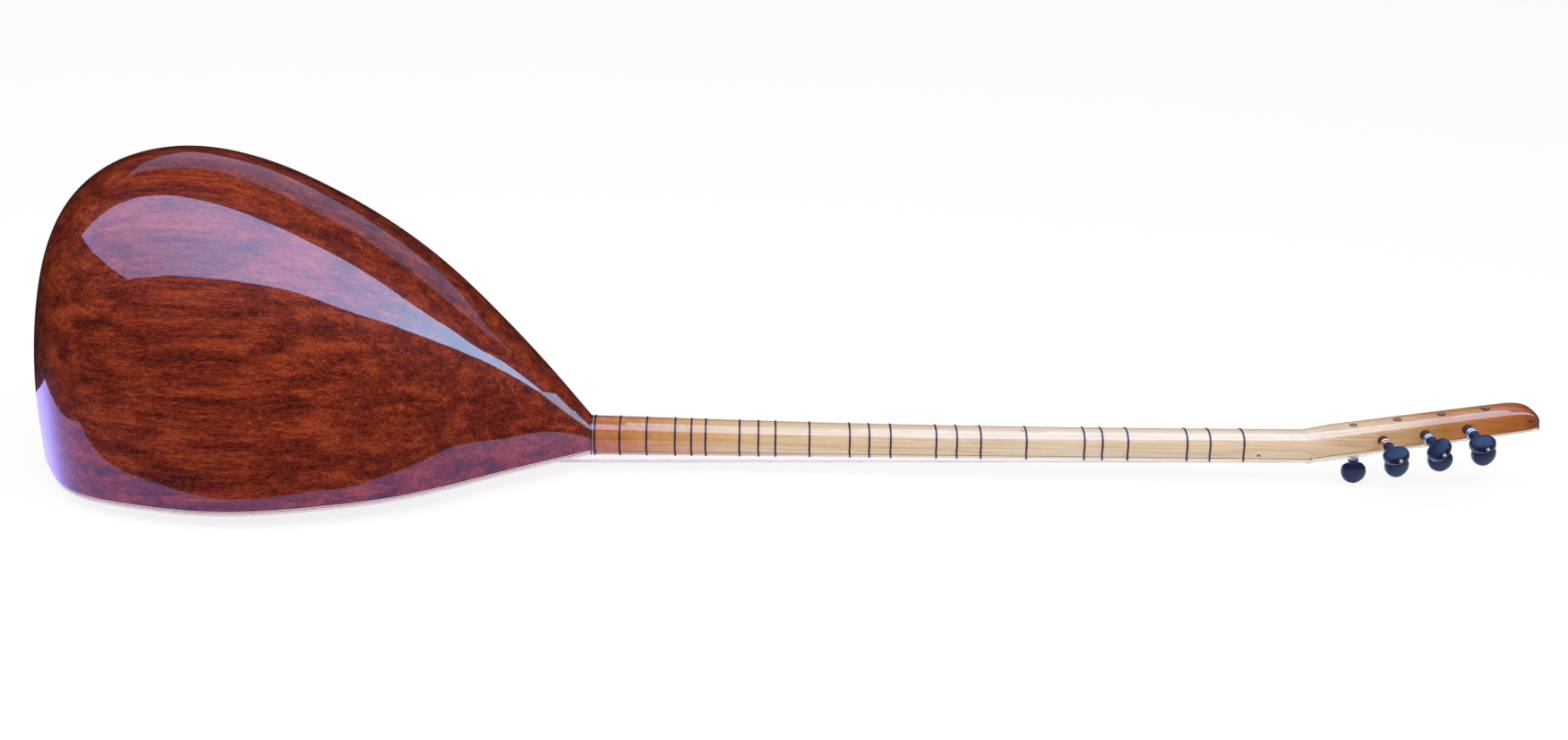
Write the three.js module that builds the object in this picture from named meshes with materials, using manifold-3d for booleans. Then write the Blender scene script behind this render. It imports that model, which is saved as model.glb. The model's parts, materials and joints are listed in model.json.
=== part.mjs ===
// A divan saz: the largest of the long-necked lutes of the baglama family, lying face down.
// The instrument is drawn along x, from the tail of the soundboard (x = 0) to the tip of the head.
// z = 0 is the outer face of soundboard and fretboard, and the back of the bowl is +z.
// At the end the whole instrument is tilted to rest on its bridge and on its lowest peg. Millimetres.

import * as THREE from "three";
import { mergeVertices } from "three/addons/utils/BufferGeometryUtils.js";
import loadManifold from "manifold-3d";

const wasm = await loadManifold();
wasm.setup();

// Main lines.
const bodyLength = 486;
const bridgeFromTail = 100;
const stringLength = 1040;
const nutPlace = bridgeFromTail + stringLength;
const seam = 0.3; // open gap at every glued, seated or running face
const overrun = 6; // how far a cutter runs past the wood that it cuts

// Bowl, carved from one block. The tables follow its length from tail to neck joint.
const bowlWidth = 290;
const bowlDepth = 268;
const bowlPlaceShares = [0, 0.04, 0.12, 0.25, 0.4, 0.55, 0.7, 0.85];
const bowlWidthShares = [0, 0.365, 0.73, 0.92, 1, 0.925, 0.75, 0.43];
const bowlDepthShares = [0, 0.57, 0.872, 1, 0.985, 0.87, 0.692, 0.434];
const bowlSquareShare = 0.926; // power of the section's curve: 1 is an ellipse, less is squarer
const tailSwell = 4.4; // how far the tail bulges past the soundboard's end
const tailSwellShare = 0.25;
const bowlWall = 7;
const neckBlock = 62; // wood left solid behind the neck joint
const soundHoleDiameter = 18;
const soundHoleHeight = 62;
const soundHoleSides = 16;
const bowlStations = 20;
const bowlSteps = 20;
const bisections = 30; // halvings that find a curve's value at a given distance

// Soundboard, its edge strip and its one brace.
const soundboardThickness = 4;
const bindingWidth = 2.5;
const wingLine = 86; // distance of the wing joints from the centre line
const braceWidth = 7;
const braceHeight = 9;
const bracePlaceShare = 0.5;
const braceEndRoom = 6;
const braceEndHeight = 3;
const braceRamp = 27; // each end of the brace thins out over this length
const rimStations = 30;

// Neck, with its fretboard and the dark veneer between them.
const neckWidthAtJoint = 33.5;
const neckWidthAtNut = 29;
const neckDepthAtNut = 25;
const neckPlaceShares = [0, 0.05, 0.3, 0.55, 0.8, 1];
const neckDepthShares = [1.17, 1.155, 1.02, 0.96, 0.965, 1];
const neckWallShare = 0.24; // upright part of the side, as a share of the depth
const neckSquareShare = 0.8;
const neckStations = 14;
const crownSteps = 8;
const fretboardThickness = 2.6;
const veneerThickness = 0.5;
const tenonLength = 44;
const tenonWidth = 16;
const tenonHeight = 13;
const tenonRise = 8; // from the playing face to the tenon's near face
const jointRingThickness = 1.2;
const jointRingProud = 0.35;

// Head, bent back from the neck.
const headBend = THREE.MathUtils.degToRad(9.1);
const headLength = 216.5;
const headWidthAtTip = 27.5;
const headDepthAtTip = 22.8;
const headWallShare = 0.56;
const headSquareShare = 0.68;
const headShapeRun = 34; // the neck's section has become the head's after this length
const noseLength = 32;
const noseRoundShare = 2.4;
const noseWidthShare = 4;
const noseBluntness = 1.2;
const capThickness = 3;
const capPlaceShares = [0, 0.45, 0.8, 1];
const headPlaceShares = [0.05, 0.1, 0.17, 0.4, 0.65, 0.86, 0.9, 0.93, 0.96, 0.977];

// Nut and bridge, both notched for the strings.
const nutThickness = 5;
const nutHeight = 1.9;
const nutNotchDepth = 1.1;
const bridgeWidth = 52;
const bridgeHeight = 10.5;
const bridgeFootThickness = 5;
const bridgeTopThickness = 2.4;
const bridgeArchHeight = 5;
const bridgeFootWidth = 13;
const bridgeShoulder = 3;
const bridgeNotchDepth = 1.4;
const bridgeArchSteps = 8;

// Tailpiece glued to the soundboard's tail end.
const tailpieceFromTail = 7;
const tailpieceLength = 10;
const tailpieceWidth = 50;
const tailpieceHeight = 6;
const tailpieceEdge = 1.5;

// Tied frets: three turns of nylon line each. The places are cents above the open string.
const centsPerOctave = 1200;
const fretPitches = [
  101, 157, 196, 301, 348, 382, 496, 591, 643, 689, 795, 847,
  896, 1001, 1095, 1144, 1200, 1305, 1351, 1405, 1504, 1602, 1699,
];
const fretPitchShares = fretPitches.map((cents) => cents / centsPerOctave);
const fretLineDiameter = 0.6;
const fretLineStep = 1.05;
const fretTurns = 3;
const lineSides = 4;

// Pegs: turned shafts in tapered holes, with flat round heads.
const pegShaftDiameter = 8;
const pegTipDiameter = 6.4;
const pegTipRecess = 1.5;
const pegHeadWidth = 22.4;
const pegHeadLength = 20.5;
const pegHeadThickness = 12;
const pegFlatShare = 0.6; // how much less the head tapers in thickness than in width
const pegCollarDiameter = 9.6;
const pegCollarLength = 2.6;
const pegCollarRampShare = 0.25;
const pegNeckWidth = 8.2;
const frontPegShaft = 10;
const frontPegNeck = 2;
const frontPegFromNut = 48.5;
const frontPegSpacing = 40.4;
const frontPegCount = 4;
const sidePegShaft = 13;
const sidePegNeck = 8;
const sidePegFromNut = 70.4;
const sidePegSpacing = 38.7;
const sidePegCount = 3;
const sidePegRise = 11.7; // from the head's front face to the side pegs' axes
const pegSides = 12;
const pegHeadStations = 9;
const countersink = 0.7;
const pipDiameter = 4.6;
const pipHeight = 1.1;
// Angle of each peg's flat head about its own axis, as the pegs were last left.
const frontPegTurns = [4, -6, 3, -5].map(THREE.MathUtils.degToRad);
const sidePegTurns = [12, 42, 8].map(THREE.MathUtils.degToRad);

// Strings: seven in three courses, from the bass side (-y) to the treble side.
const plainWire = 0.5;
const woundWire = 0.8;
const stringWires = [woundWire, plainWire, plainWire, plainWire, plainWire, plainWire, woundWire];
const stringNutShares = [-0.76, -0.62, -0.1, 0.1, 0.56, 0.68, 0.8];
const stringBridgeShares = [-0.8, -0.68, -0.05, 0.05, 0.56, 0.68, 0.8];
const windingTurns = 4;
const windingSteps = 8;
const windingSelfGap = 0.45;
const windingCollarGap = 0.2;
const edgeRun = 18; // a side string rounds the head's edge this far before its peg
const edgeClearance = 0.8;
const settlingPasses = 4; // the tilt at rest is found in this many steps

// Finishes, as photographed.
const mahogany = new THREE.MeshStandardMaterial({ color: 0x6b2412, roughness: 0.14, metalness: 0 });
const maple = new THREE.MeshStandardMaterial({ color: 0xdab98a, roughness: 0.2, metalness: 0 });
const paleMaple = new THREE.MeshStandardMaterial({ color: 0xe9d8b8, roughness: 0.25, metalness: 0 });
const spruce = new THREE.MeshStandardMaterial({ color: 0xdcb980, roughness: 0.35, metalness: 0 });
const wingWood = new THREE.MeshStandardMaterial({ color: 0x8a4a26, roughness: 0.3, metalness: 0 });
const cream = new THREE.MeshStandardMaterial({ color: 0xefe4cf, roughness: 0.3, metalness: 0 });
const darkVeneer = new THREE.MeshStandardMaterial({ color: 0x2a1c1c, roughness: 0.4, metalness: 0 });
const ebony = new THREE.MeshStandardMaterial({ color: 0x17161a, roughness: 0.3, metalness: 0 });
const nylon = new THREE.MeshStandardMaterial({ color: 0x2b1a33, roughness: 0.3, metalness: 0 });
const bone = new THREE.MeshStandardMaterial({ color: 0xe8dfc8, roughness: 0.35, metalness: 0 });
const steel = new THREE.MeshStandardMaterial({ color: 0xc8cacd, roughness: 0.25, metalness: 1 });
const copper = new THREE.MeshStandardMaterial({ color: 0xc9774a, roughness: 0.3, metalness: 1 });
const pearl = new THREE.MeshStandardMaterial({ color: 0xe6ebf2, roughness: 0.15, metalness: 0 });

const instrument = new THREE.Group();
const head = new THREE.Group();
head.position.x = nutPlace;
head.rotation.y = -headBend;
instrument.add(head);
head.updateMatrix();
const toHead = head.matrix.clone().invert();

function addMesh(name, geometry, material, group = instrument) {
  const mesh = new THREE.Mesh(geometry, material);
  mesh.name = name;
  group.add(mesh);
  return mesh;
}

// A closed skin over rings of points. A ring of one point is a pole, and wider end rings are capped.
function loft(rings) {
  const starts = [];
  let total = 0;
  for (const ring of rings) {
    starts.push(total);
    total += ring.length;
  }
  const faces = [];
  for (let i = 0; i + 1 < rings.length; i += 1) {
    const near = rings[i].length;
    const far = rings[i + 1].length;
    const count = Math.max(near, far);
    for (let j = 0; j < count; j += 1) {
      const next = (j + 1) % count;
      const a = starts[i] + (near === 1 ? 0 : j);
      const d = starts[i] + (near === 1 ? 0 : next);
      const b = starts[i + 1] + (far === 1 ? 0 : j);
      const c = starts[i + 1] + (far === 1 ? 0 : next);
      if (far > 1) {
        faces.push(a, b, c);
      }
      if (near > 1) {
        faces.push(a, c, d);
      }
    }
  }
  const last = rings.length - 1;
  for (let j = 1; j + 1 < rings[0].length; j += 1) {
    faces.push(0, j, j + 1);
  }
  for (let j = 1; j + 1 < rings[last].length; j += 1) {
    faces.push(starts[last], starts[last] + j + 1, starts[last] + j);
  }
  const geometry = new THREE.BufferGeometry().setFromPoints(rings.flat());
  geometry.setIndex(faces);
  return geometry;
}

// A line of one thickness along points, mitred at each bend.
function sweep(points, diameter) {
  const rings = [];
  const normal = new THREE.Vector3();
  const side = new THREE.Vector3();
  for (let i = 0; i < points.length; i += 1) {
    const before = points[Math.max(i - 1, 0)];
    const after = points[Math.min(i + 1, points.length - 1)];
    const arriving = points[i].clone().sub(before).normalize();
    const leaving = after.clone().sub(points[i]).normalize();
    if (i === 0) {
      arriving.copy(leaving);
      const steep = Math.abs(leaving.z) >= Math.abs(leaving.y);
      normal.crossVectors(new THREE.Vector3(0, steep ? 1 : 0, steep ? 0 : 1), leaving).normalize();
    }
    if (i === points.length - 1) {
      leaving.copy(arriving);
    }
    const along = arriving.clone().add(leaving).normalize();
    const bend = leaving.clone().sub(arriving).normalize();
    const stretch = 1 / Math.max(along.dot(leaving), Number.EPSILON);
    normal.addScaledVector(along, -normal.dot(along)).normalize();
    side.crossVectors(along, normal);
    const ring = [];
    for (let j = 0; j < lineSides; j += 1) {
      const angle = (2 * Math.PI * (j + 1 / 2)) / lineSides;
      const offset = normal.clone()
        .multiplyScalar(Math.cos(angle))
        .addScaledVector(side, -Math.sin(angle));
      offset.addScaledVector(bend, offset.dot(bend) * (stretch - 1));
      ring.push(points[i].clone().addScaledVector(offset, diameter / 2));
    }
    rings.push(ring);
  }
  return loft(rings);
}

// The least open gap between one turn of a line and any other, measured on points along it.
function leastGap(points, diameter, turnLength) {
  const samples = [];
  const travelled = [];
  let length = 0;
  for (let i = 0; i + 1 < points.length; i += 1) {
    const stretch = points[i].distanceTo(points[i + 1]);
    const count = Math.ceil(stretch / diameter);
    for (let k = 0; k < count; k += 1) {
      samples.push(points[i].clone().lerp(points[i + 1], k / count));
      travelled.push(length + (stretch * k) / count);
    }
    length += stretch;
  }
  let least = Infinity;
  for (let i = 0; i < samples.length; i += 1) {
    for (let k = i + 1; k < samples.length; k += 1) {
      if (travelled[k] - travelled[i] >= turnLength / 2) {
        least = Math.min(least, samples[i].distanceTo(samples[k]));
      }
    }
  }
  return least - diameter;
}

function toSolid(geometry) {
  const bare = new THREE.BufferGeometry();
  bare.setAttribute("position", geometry.getAttribute("position"));
  bare.setIndex(geometry.index);
  const merged = mergeVertices(bare);
  const vertProperties = new Float32Array(merged.getAttribute("position").array);
  const triVerts = new Uint32Array(merged.index.array);
  return new wasm.Manifold(new wasm.Mesh({ numProp: 3, vertProperties, triVerts }));
}

function toGeometry(solid) {
  const cut = solid.getMesh();
  const geometry = new THREE.BufferGeometry();
  const corners = new Float32Array(cut.vertProperties);
  geometry.setAttribute("position", new THREE.BufferAttribute(corners, cut.numProp));
  geometry.setIndex(Array.from(cut.triVerts));
  return geometry;
}

function block(x0, x1, y0, y1, z0, z1) {
  const geometry = new THREE.BoxGeometry(x1 - x0, y1 - y0, z1 - z0);
  geometry.translate((x0 + x1) / 2, (y0 + y1) / 2, (z0 + z1) / 2);
  return geometry;
}

function plate(shape, thickness) {
  return new THREE.ExtrudeGeometry(shape, { depth: thickness, bevelEnabled: false });
}

// A shape drawn as (y, z) becomes a bar of one thickness along x, starting at x = 0.
function acrossBar(shape, thickness) {
  return plate(shape, thickness).rotateX(Math.PI / 2).rotateZ(Math.PI / 2);
}

// The point where a curve of rising x reaches a given x.
function curveAt(curve, x) {
  let low = 0;
  let high = 1;
  for (let i = 0; i < bisections; i += 1) {
    const middle = (low + high) / 2;
    if (curve.getPoint(middle).x < x) {
      low = middle;
    } else {
      high = middle;
    }
  }
  return curve.getPoint(high);
}

// A D-shaped section: upright sides from the base, then a round crown. Points as (y, z).
function crownSection(halfWidth, base, depth, wallShare, squareShare) {
  const wallTop = depth * wallShare;
  const points = [new THREE.Vector2(-halfWidth, base)];
  for (let k = 0; k <= crownSteps; k += 1) {
    const angle = (Math.PI * k) / crownSteps;
    const across = Math.sign(Math.cos(angle)) * Math.abs(Math.cos(angle)) ** squareShare;
    const up = Math.abs(Math.sin(angle)) ** squareShare;
    points.push(new THREE.Vector2(-halfWidth * across, wallTop + (depth - wallTop) * up));
  }
  points.push(new THREE.Vector2(halfWidth, base));
  return points;
}

// Neck lines: half width and depth at any distance from the joint.
const neckStart = bodyLength + seam + jointRingThickness + seam;
const neckRun = nutPlace - bodyLength;
const neckDepthLine = new THREE.CatmullRomCurve3(neckPlaceShares.map(
  (share, i) => new THREE.Vector3(share * neckRun, neckDepthShares[i] * neckDepthAtNut, 0),
));

function neckAt(x) {
  const share = (x - bodyLength) / neckRun;
  const halfWidth = THREE.MathUtils.lerp(neckWidthAtJoint, neckWidthAtNut, share) / 2;
  return { halfWidth, depth: curveAt(neckDepthLine, x - bodyLength).y };
}

const veneerBase = fretboardThickness + seam;
const woodBase = veneerBase + veneerThickness + seam;

function neckSection(x, base) {
  const { halfWidth, depth } = neckAt(x);
  return crownSection(halfWidth, base, depth, neckWallShare, neckSquareShare);
}

// Bowl lines. The first coordinate is the root of the length share, which rounds the tail.
const jointHalfWidth = neckWidthAtJoint / 2 + jointRingProud;
const jointDepth = neckAt(bodyLength).depth + jointRingProud;
const bowlLine = new THREE.CatmullRomCurve3([
  ...bowlPlaceShares.map((share, i) => new THREE.Vector3(
    Math.sqrt(share) * bodyLength,
    (bowlWidthShares[i] * bowlWidth) / 2,
    bowlDepthShares[i] * bowlDepth,
  )),
  new THREE.Vector3(bodyLength, jointHalfWidth, jointDepth),
], false, "catmullrom");

function bowlAt(step) {
  const point = bowlLine.getPoint(step);
  const share = (point.x / bodyLength) ** 2;
  return { x: share * bodyLength, share, halfWidth: point.y, depth: point.z };
}

function bowlPoint(place, angle, wall) {
  const across = Math.sign(Math.cos(angle)) * Math.abs(Math.cos(angle)) ** bowlSquareShare;
  const up = Math.abs(Math.sin(angle)) ** bowlSquareShare;
  const swell = tailSwell * Math.sin(angle) * Math.exp(-place.share / tailSwellShare);
  return new THREE.Vector3(
    place.x - swell,
    -(place.halfWidth - wall) * across,
    (place.depth - wall) * up,
  );
}

const rimHeight = soundboardThickness + seam;
const hollowScale = (bodyLength - neckBlock - bowlWall) / bodyLength;

function bowlRing(place, wall) {
  const ring = [];
  for (let k = 0; k <= bowlSteps; k += 1) {
    ring.push(bowlPoint(place, (Math.PI * k) / bowlSteps, wall));
  }
  return ring;
}

function bowlSolid() {
  const outer = [[new THREE.Vector3()]];
  const hollow = [];
  for (let i = 1; i <= bowlStations; i += 1) {
    const place = bowlAt(i / bowlStations);
    outer.push(bowlRing(place, 0));
    if (i < bowlStations && place.halfWidth > 2 * bowlWall) {
      const ring = bowlRing({ ...place, x: bowlWall + place.x * hollowScale }, bowlWall);
      hollow.push([ring[0].clone().setZ(-overrun), ...ring, ring[bowlSteps].clone().setZ(-overrun)]);
    }
  }
  const below = block(
    -bowlWidth, bodyLength + bowlWidth, -bowlWidth, bowlWidth, -bowlDepth, rimHeight,
  );
  const mortise = block(
    bodyLength - tenonLength - seam, bodyLength + overrun,
    -tenonWidth / 2 - seam, tenonWidth / 2 + seam,
    tenonRise - seam, tenonRise + tenonHeight + seam,
  );
  const hole = new THREE.CylinderGeometry(
    soundHoleDiameter / 2, soundHoleDiameter / 2, bowlDepth / 2, soundHoleSides,
  );
  hole.rotateZ(Math.PI / 2);
  hole.translate(0, 0, soundHoleHeight);
  return toSolid(loft(outer))
    .subtract(toSolid(loft(hollow)))
    .subtract(toSolid(below))
    .subtract(toSolid(mortise))
    .subtract(toSolid(hole));
}

addMesh("bowl", toGeometry(bowlSolid()), mahogany);

// The rim's outline from the joint round the tail and back, drawn in by a named width.
function rimOutline(inset) {
  const side = [];
  for (let i = 1; i <= rimStations; i += 1) {
    const place = bowlAt(i / rimStations);
    side.push(new THREE.Vector2(place.x, place.halfWidth));
  }
  const outline = [
    ...side.slice().reverse().map((point) => new THREE.Vector2(point.x, -point.y)),
    new THREE.Vector2(0, 0),
    ...side,
  ];
  return outline.map((point, i) => {
    const before = outline[Math.max(i - 1, 0)];
    const after = outline[Math.min(i + 1, outline.length - 1)];
    const along = after.clone().sub(before).normalize();
    const inward = i === 0 || i === outline.length - 1
      ? new THREE.Vector2(0, -Math.sign(point.y))
      : new THREE.Vector2(along.y, -along.x);
    return point.clone().addScaledVector(inward, inset);
  });
}

function soundboardPanel(y0, y1) {
  const outline = new THREE.Shape(rimOutline(bindingWidth + seam));
  const board = toSolid(plate(outline, soundboardThickness));
  const panel = block(-bodyLength, bodyLength * 2, y0, y1, -overrun, soundboardThickness + overrun);
  return toGeometry(board.intersect(toSolid(panel)));
}

addMesh("soundboard_centre", soundboardPanel(-wingLine, wingLine), spruce);
addMesh("soundboard_bass_wing", soundboardPanel(-bowlWidth, -wingLine - seam), wingWood);
addMesh("soundboard_treble_wing", soundboardPanel(wingLine + seam, bowlWidth), wingWood);

function bindingGeometry() {
  const outer = rimOutline(0);
  const inner = rimOutline(bindingWidth).reverse();
  return plate(new THREE.Shape([...outer, ...inner]), soundboardThickness);
}

addMesh("rim_binding", bindingGeometry(), cream);

function braceGeometry() {
  const place = bodyLength * bracePlaceShare;
  const hollowShare = (place - bowlWall) / (hollowScale * bodyLength);
  const rim = curveAt(bowlLine, Math.sqrt(hollowShare) * bodyLength);
  const reach = rim.y - bowlWall - braceEndRoom;
  const profile = new THREE.Shape([
    new THREE.Vector2(-reach, 0),
    new THREE.Vector2(reach, 0),
    new THREE.Vector2(reach, braceEndHeight),
    new THREE.Vector2(reach - braceRamp, braceHeight),
    new THREE.Vector2(-reach + braceRamp, braceHeight),
    new THREE.Vector2(-reach, braceEndHeight),
  ]);
  return acrossBar(profile, braceWidth).translate(place - braceWidth / 2, 0, rimHeight);
}

addMesh("soundboard_brace", braceGeometry(), spruce);

// Neck with the tenon that sits in the bowl's block.
function neckGeometry() {
  const rings = [];
  const end = nutPlace - seam / 2;
  for (let i = 0; i <= neckStations; i += 1) {
    const x = THREE.MathUtils.lerp(neckStart, end, i / neckStations);
    rings.push(neckSection(x, woodBase).map((point) => new THREE.Vector3(x, point.x, point.y)));
  }
  const tenon = block(
    bodyLength - tenonLength, neckStart + overrun,
    -tenonWidth / 2, tenonWidth / 2,
    tenonRise, tenonRise + tenonHeight,
  );
  return toGeometry(toSolid(loft(rings)).add(toSolid(tenon)));
}

addMesh("neck", neckGeometry(), maple);

function jointRingGeometry() {
  const { halfWidth, depth } = neckAt(bodyLength);
  const outline = crownSection(
    halfWidth + jointRingProud, 0, depth + jointRingProud, neckWallShare, neckSquareShare,
  );
  const shape = new THREE.Shape(outline);
  const across = tenonWidth / 2 + seam;
  shape.holes.push(new THREE.Path([
    new THREE.Vector2(-across, tenonRise - seam),
    new THREE.Vector2(across, tenonRise - seam),
    new THREE.Vector2(across, tenonRise + tenonHeight + seam),
    new THREE.Vector2(-across, tenonRise + tenonHeight + seam),
  ]));
  return acrossBar(shape, jointRingThickness).translate(bodyLength + seam, 0, 0);
}

addMesh("joint_ring", jointRingGeometry(), darkVeneer);

// A flat strip, as wide as the neck or head, between two heights.
function stripRing(x, halfWidth, low, high) {
  return [
    new THREE.Vector3(x, -halfWidth, low),
    new THREE.Vector3(x, -halfWidth, high),
    new THREE.Vector3(x, halfWidth, high),
    new THREE.Vector3(x, halfWidth, low),
  ];
}

function fretboardGeometry() {
  const end = nutPlace - seam;
  const rings = [neckStart, end].map(
    (x) => stripRing(x, neckAt(x).halfWidth, 0, fretboardThickness),
  );
  return loft(rings);
}

addMesh("fretboard", fretboardGeometry(), paleMaple);

// Head lines, in the head's own frame: x runs from the nut to the tip, z = 0 is its front face.
const headWood = headLength - capThickness - seam;

function headAt(x) {
  const blend = THREE.MathUtils.smoothstep(x, 0, headShapeRun);
  const nose = Math.max(x - headLength + noseLength, 0) / (noseLength + noseBluntness);
  const taper = THREE.MathUtils.lerp(neckWidthAtNut, headWidthAtTip, x / headLength) / 2;
  const thickness = THREE.MathUtils.lerp(neckDepthAtNut, headDepthAtTip, x / headLength);
  return {
    halfWidth: taper * (1 - nose ** noseWidthShare) ** (1 / noseWidthShare),
    depth: thickness * (1 - nose ** noseRoundShare) ** (1 / noseRoundShare),
    wallShare: THREE.MathUtils.lerp(neckWallShare, headWallShare, blend),
    squareShare: THREE.MathUtils.lerp(neckSquareShare, headSquareShare, blend),
  };
}

const headPlaces = [...headPlaceShares.map((share) => share * headLength), headWood];

// The upright plane at a distance from the nut cuts the bent head at this x for each height.
function mitre(distance, height) {
  return (distance + height * Math.sin(headBend)) / Math.cos(headBend);
}

// Tapered holes for the pegs, with a small countersink at the face where the peg goes in.
function pegHole(depth) {
  const entry = pegShaftDiameter / 2 + seam;
  const exit = pegTipDiameter / 2 + seam;
  const profile = [
    new THREE.Vector2(0, -overrun),
    new THREE.Vector2(entry + countersink, -overrun),
    new THREE.Vector2(entry + countersink, 0),
    new THREE.Vector2(entry, countersink),
    new THREE.Vector2(exit, depth + overrun),
    new THREE.Vector2(0, depth + overrun),
  ];
  return new THREE.LatheGeometry(profile, pegSides);
}

function evenPlaces(first, spacing, count) {
  return Array.from({ length: count }, (_, i) => first + i * spacing);
}

const frontPegPlaces = evenPlaces(frontPegFromNut, frontPegSpacing, frontPegCount);
const sidePegPlaces = evenPlaces(sidePegFromNut, sidePegSpacing, sidePegCount);

function frontHoleCutters() {
  return frontPegPlaces.map((x) => {
    const cutter = pegHole(headAt(x).depth);
    cutter.rotateX(Math.PI / 2);
    cutter.translate(x, 0, 0);
    return toSolid(cutter);
  });
}

function sideHoleCutters() {
  return sidePegPlaces.map((x) => {
    const cutter = pegHole(headAt(x).halfWidth * 2);
    cutter.translate(x, -headAt(x).halfWidth, sidePegRise);
    return toSolid(cutter);
  });
}

function cutAll(geometry, cutters) {
  return toGeometry(cutters.reduce((solid, cutter) => solid.subtract(cutter), toSolid(geometry)));
}

function headRing(x, base) {
  const at = headAt(x);
  const section = crownSection(at.halfWidth, base, at.depth, at.wallShare, at.squareShare);
  return section.map((point) => new THREE.Vector3(x, point.x, point.y));
}

function headstockGeometry() {
  const rings = [0, ...headPlaces].map((x) => headRing(x, woodBase));
  rings[0].forEach((point) => point.setX(mitre(seam / 2, point.z)));
  return cutAll(loft(rings), [...frontHoleCutters(), ...sideHoleCutters()]);
}

addMesh("headstock", headstockGeometry(), maple, head);

function headplateGeometry() {
  const start = nutThickness + seam;
  const rings = [start, ...headPlaces].map(
    (x) => stripRing(x, headAt(x).halfWidth, 0, fretboardThickness),
  );
  rings[0].forEach((point) => point.setX(mitre(start, point.z)));
  return cutAll(loft(rings), frontHoleCutters());
}

addMesh("headplate", headplateGeometry(), paleMaple, head);

// The dark veneer runs under the fretboard, bends at the nut and goes on under the headplate.
function veneerGeometry() {
  const low = veneerBase;
  const high = veneerBase + veneerThickness;
  const atJoint = stripRing(neckStart, neckAt(neckStart).halfWidth, low, high);
  const rings = [0, ...headPlaces].map((x) => stripRing(x, headAt(x).halfWidth, low, high));
  rings[0].forEach((point) => point.setX(point.z * Math.tan(headBend / 2)));
  rings.unshift(atJoint.map((point) => point.applyMatrix4(toHead)));
  return cutAll(loft(rings), frontHoleCutters());
}

addMesh("veneer_line", veneerGeometry(), darkVeneer, head);

function headCapGeometry() {
  const places = capPlaceShares.map((share) => headLength - capThickness * (1 - share));
  return loft(places.map((x) => headRing(x, 0)));
}

addMesh("head_end_cap", headCapGeometry(), ebony, head);

// Where each string crosses the bridge and the nut, and the notches cut for it.
const bridgeStringPlaces = stringBridgeShares.map((share) => (share * bridgeWidth) / 2);
const nutStringPlaces = stringNutShares.map((share) => (share * neckWidthAtNut) / 2);

// The edge of a bar that faces the strings, from -y to +y, with a square notch for each string.
function notchedEdge(places, level, notchDepth) {
  const points = [];
  places.forEach((y, i) => {
    const half = stringWires[i] / 2 + seam;
    points.push(new THREE.Vector2(y - half, level));
    points.push(new THREE.Vector2(y - half, level + notchDepth));
    points.push(new THREE.Vector2(y + half, level + notchDepth));
    points.push(new THREE.Vector2(y + half, level));
  });
  return points;
}

function nutGeometry() {
  const halfWidth = neckWidthAtNut / 2;
  const outline = new THREE.Shape([
    new THREE.Vector2(halfWidth, -nutHeight),
    new THREE.Vector2(halfWidth, fretboardThickness),
    new THREE.Vector2(-halfWidth, fretboardThickness),
    new THREE.Vector2(-halfWidth, -nutHeight),
    ...notchedEdge(nutStringPlaces, -nutHeight, nutNotchDepth),
  ]);
  return acrossBar(outline, nutThickness).translate(nutPlace, 0, 0);
}

addMesh("nut", nutGeometry(), bone);

function bridgeGeometry() {
  const half = bridgeWidth / 2;
  const archHalf = half - bridgeFootWidth;
  const arch = [];
  for (let k = 0; k <= bridgeArchSteps; k += 1) {
    const angle = (Math.PI * k) / bridgeArchSteps;
    arch.push(new THREE.Vector2(
      archHalf * Math.cos(angle),
      -seam - bridgeArchHeight * Math.sin(angle),
    ));
  }
  const outline = new THREE.Shape([
    new THREE.Vector2(half, -bridgeHeight),
    new THREE.Vector2(half + bridgeShoulder, -bridgeHeight / 2),
    new THREE.Vector2(half + bridgeShoulder, -seam),
    ...arch,
    new THREE.Vector2(-half - bridgeShoulder, -seam),
    new THREE.Vector2(-half - bridgeShoulder, -bridgeHeight / 2),
    new THREE.Vector2(-half, -bridgeHeight),
    ...notchedEdge(bridgeStringPlaces, -bridgeHeight, bridgeNotchDepth),
  ]);
  const geometry = acrossBar(outline, bridgeFootThickness).translate(-bridgeFootThickness / 2, 0, 0);
  const position = geometry.getAttribute("position");
  for (let i = 0; i < position.count; i += 1) {
    const rise = -position.getZ(i) / bridgeHeight;
    const thickness = THREE.MathUtils.lerp(bridgeFootThickness, bridgeTopThickness, rise);
    position.setX(i, (position.getX(i) * thickness) / bridgeFootThickness);
  }
  return geometry.translate(bridgeFromTail, 0, 0);
}

addMesh("bridge", bridgeGeometry(), maple);

function tailpieceGeometry() {
  const half = tailpieceWidth / 2;
  const outline = new THREE.Shape([
    new THREE.Vector2(half, -seam),
    new THREE.Vector2(-half, -seam),
    new THREE.Vector2(-half, -tailpieceHeight + tailpieceEdge),
    new THREE.Vector2(-half + tailpieceEdge, -tailpieceHeight),
    new THREE.Vector2(half - tailpieceEdge, -tailpieceHeight),
    new THREE.Vector2(half, -tailpieceHeight + tailpieceEdge),
  ]);
  return acrossBar(outline, tailpieceLength).translate(tailpieceFromTail, 0, 0);
}

addMesh("tailpiece", tailpieceGeometry(), ebony);

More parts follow.
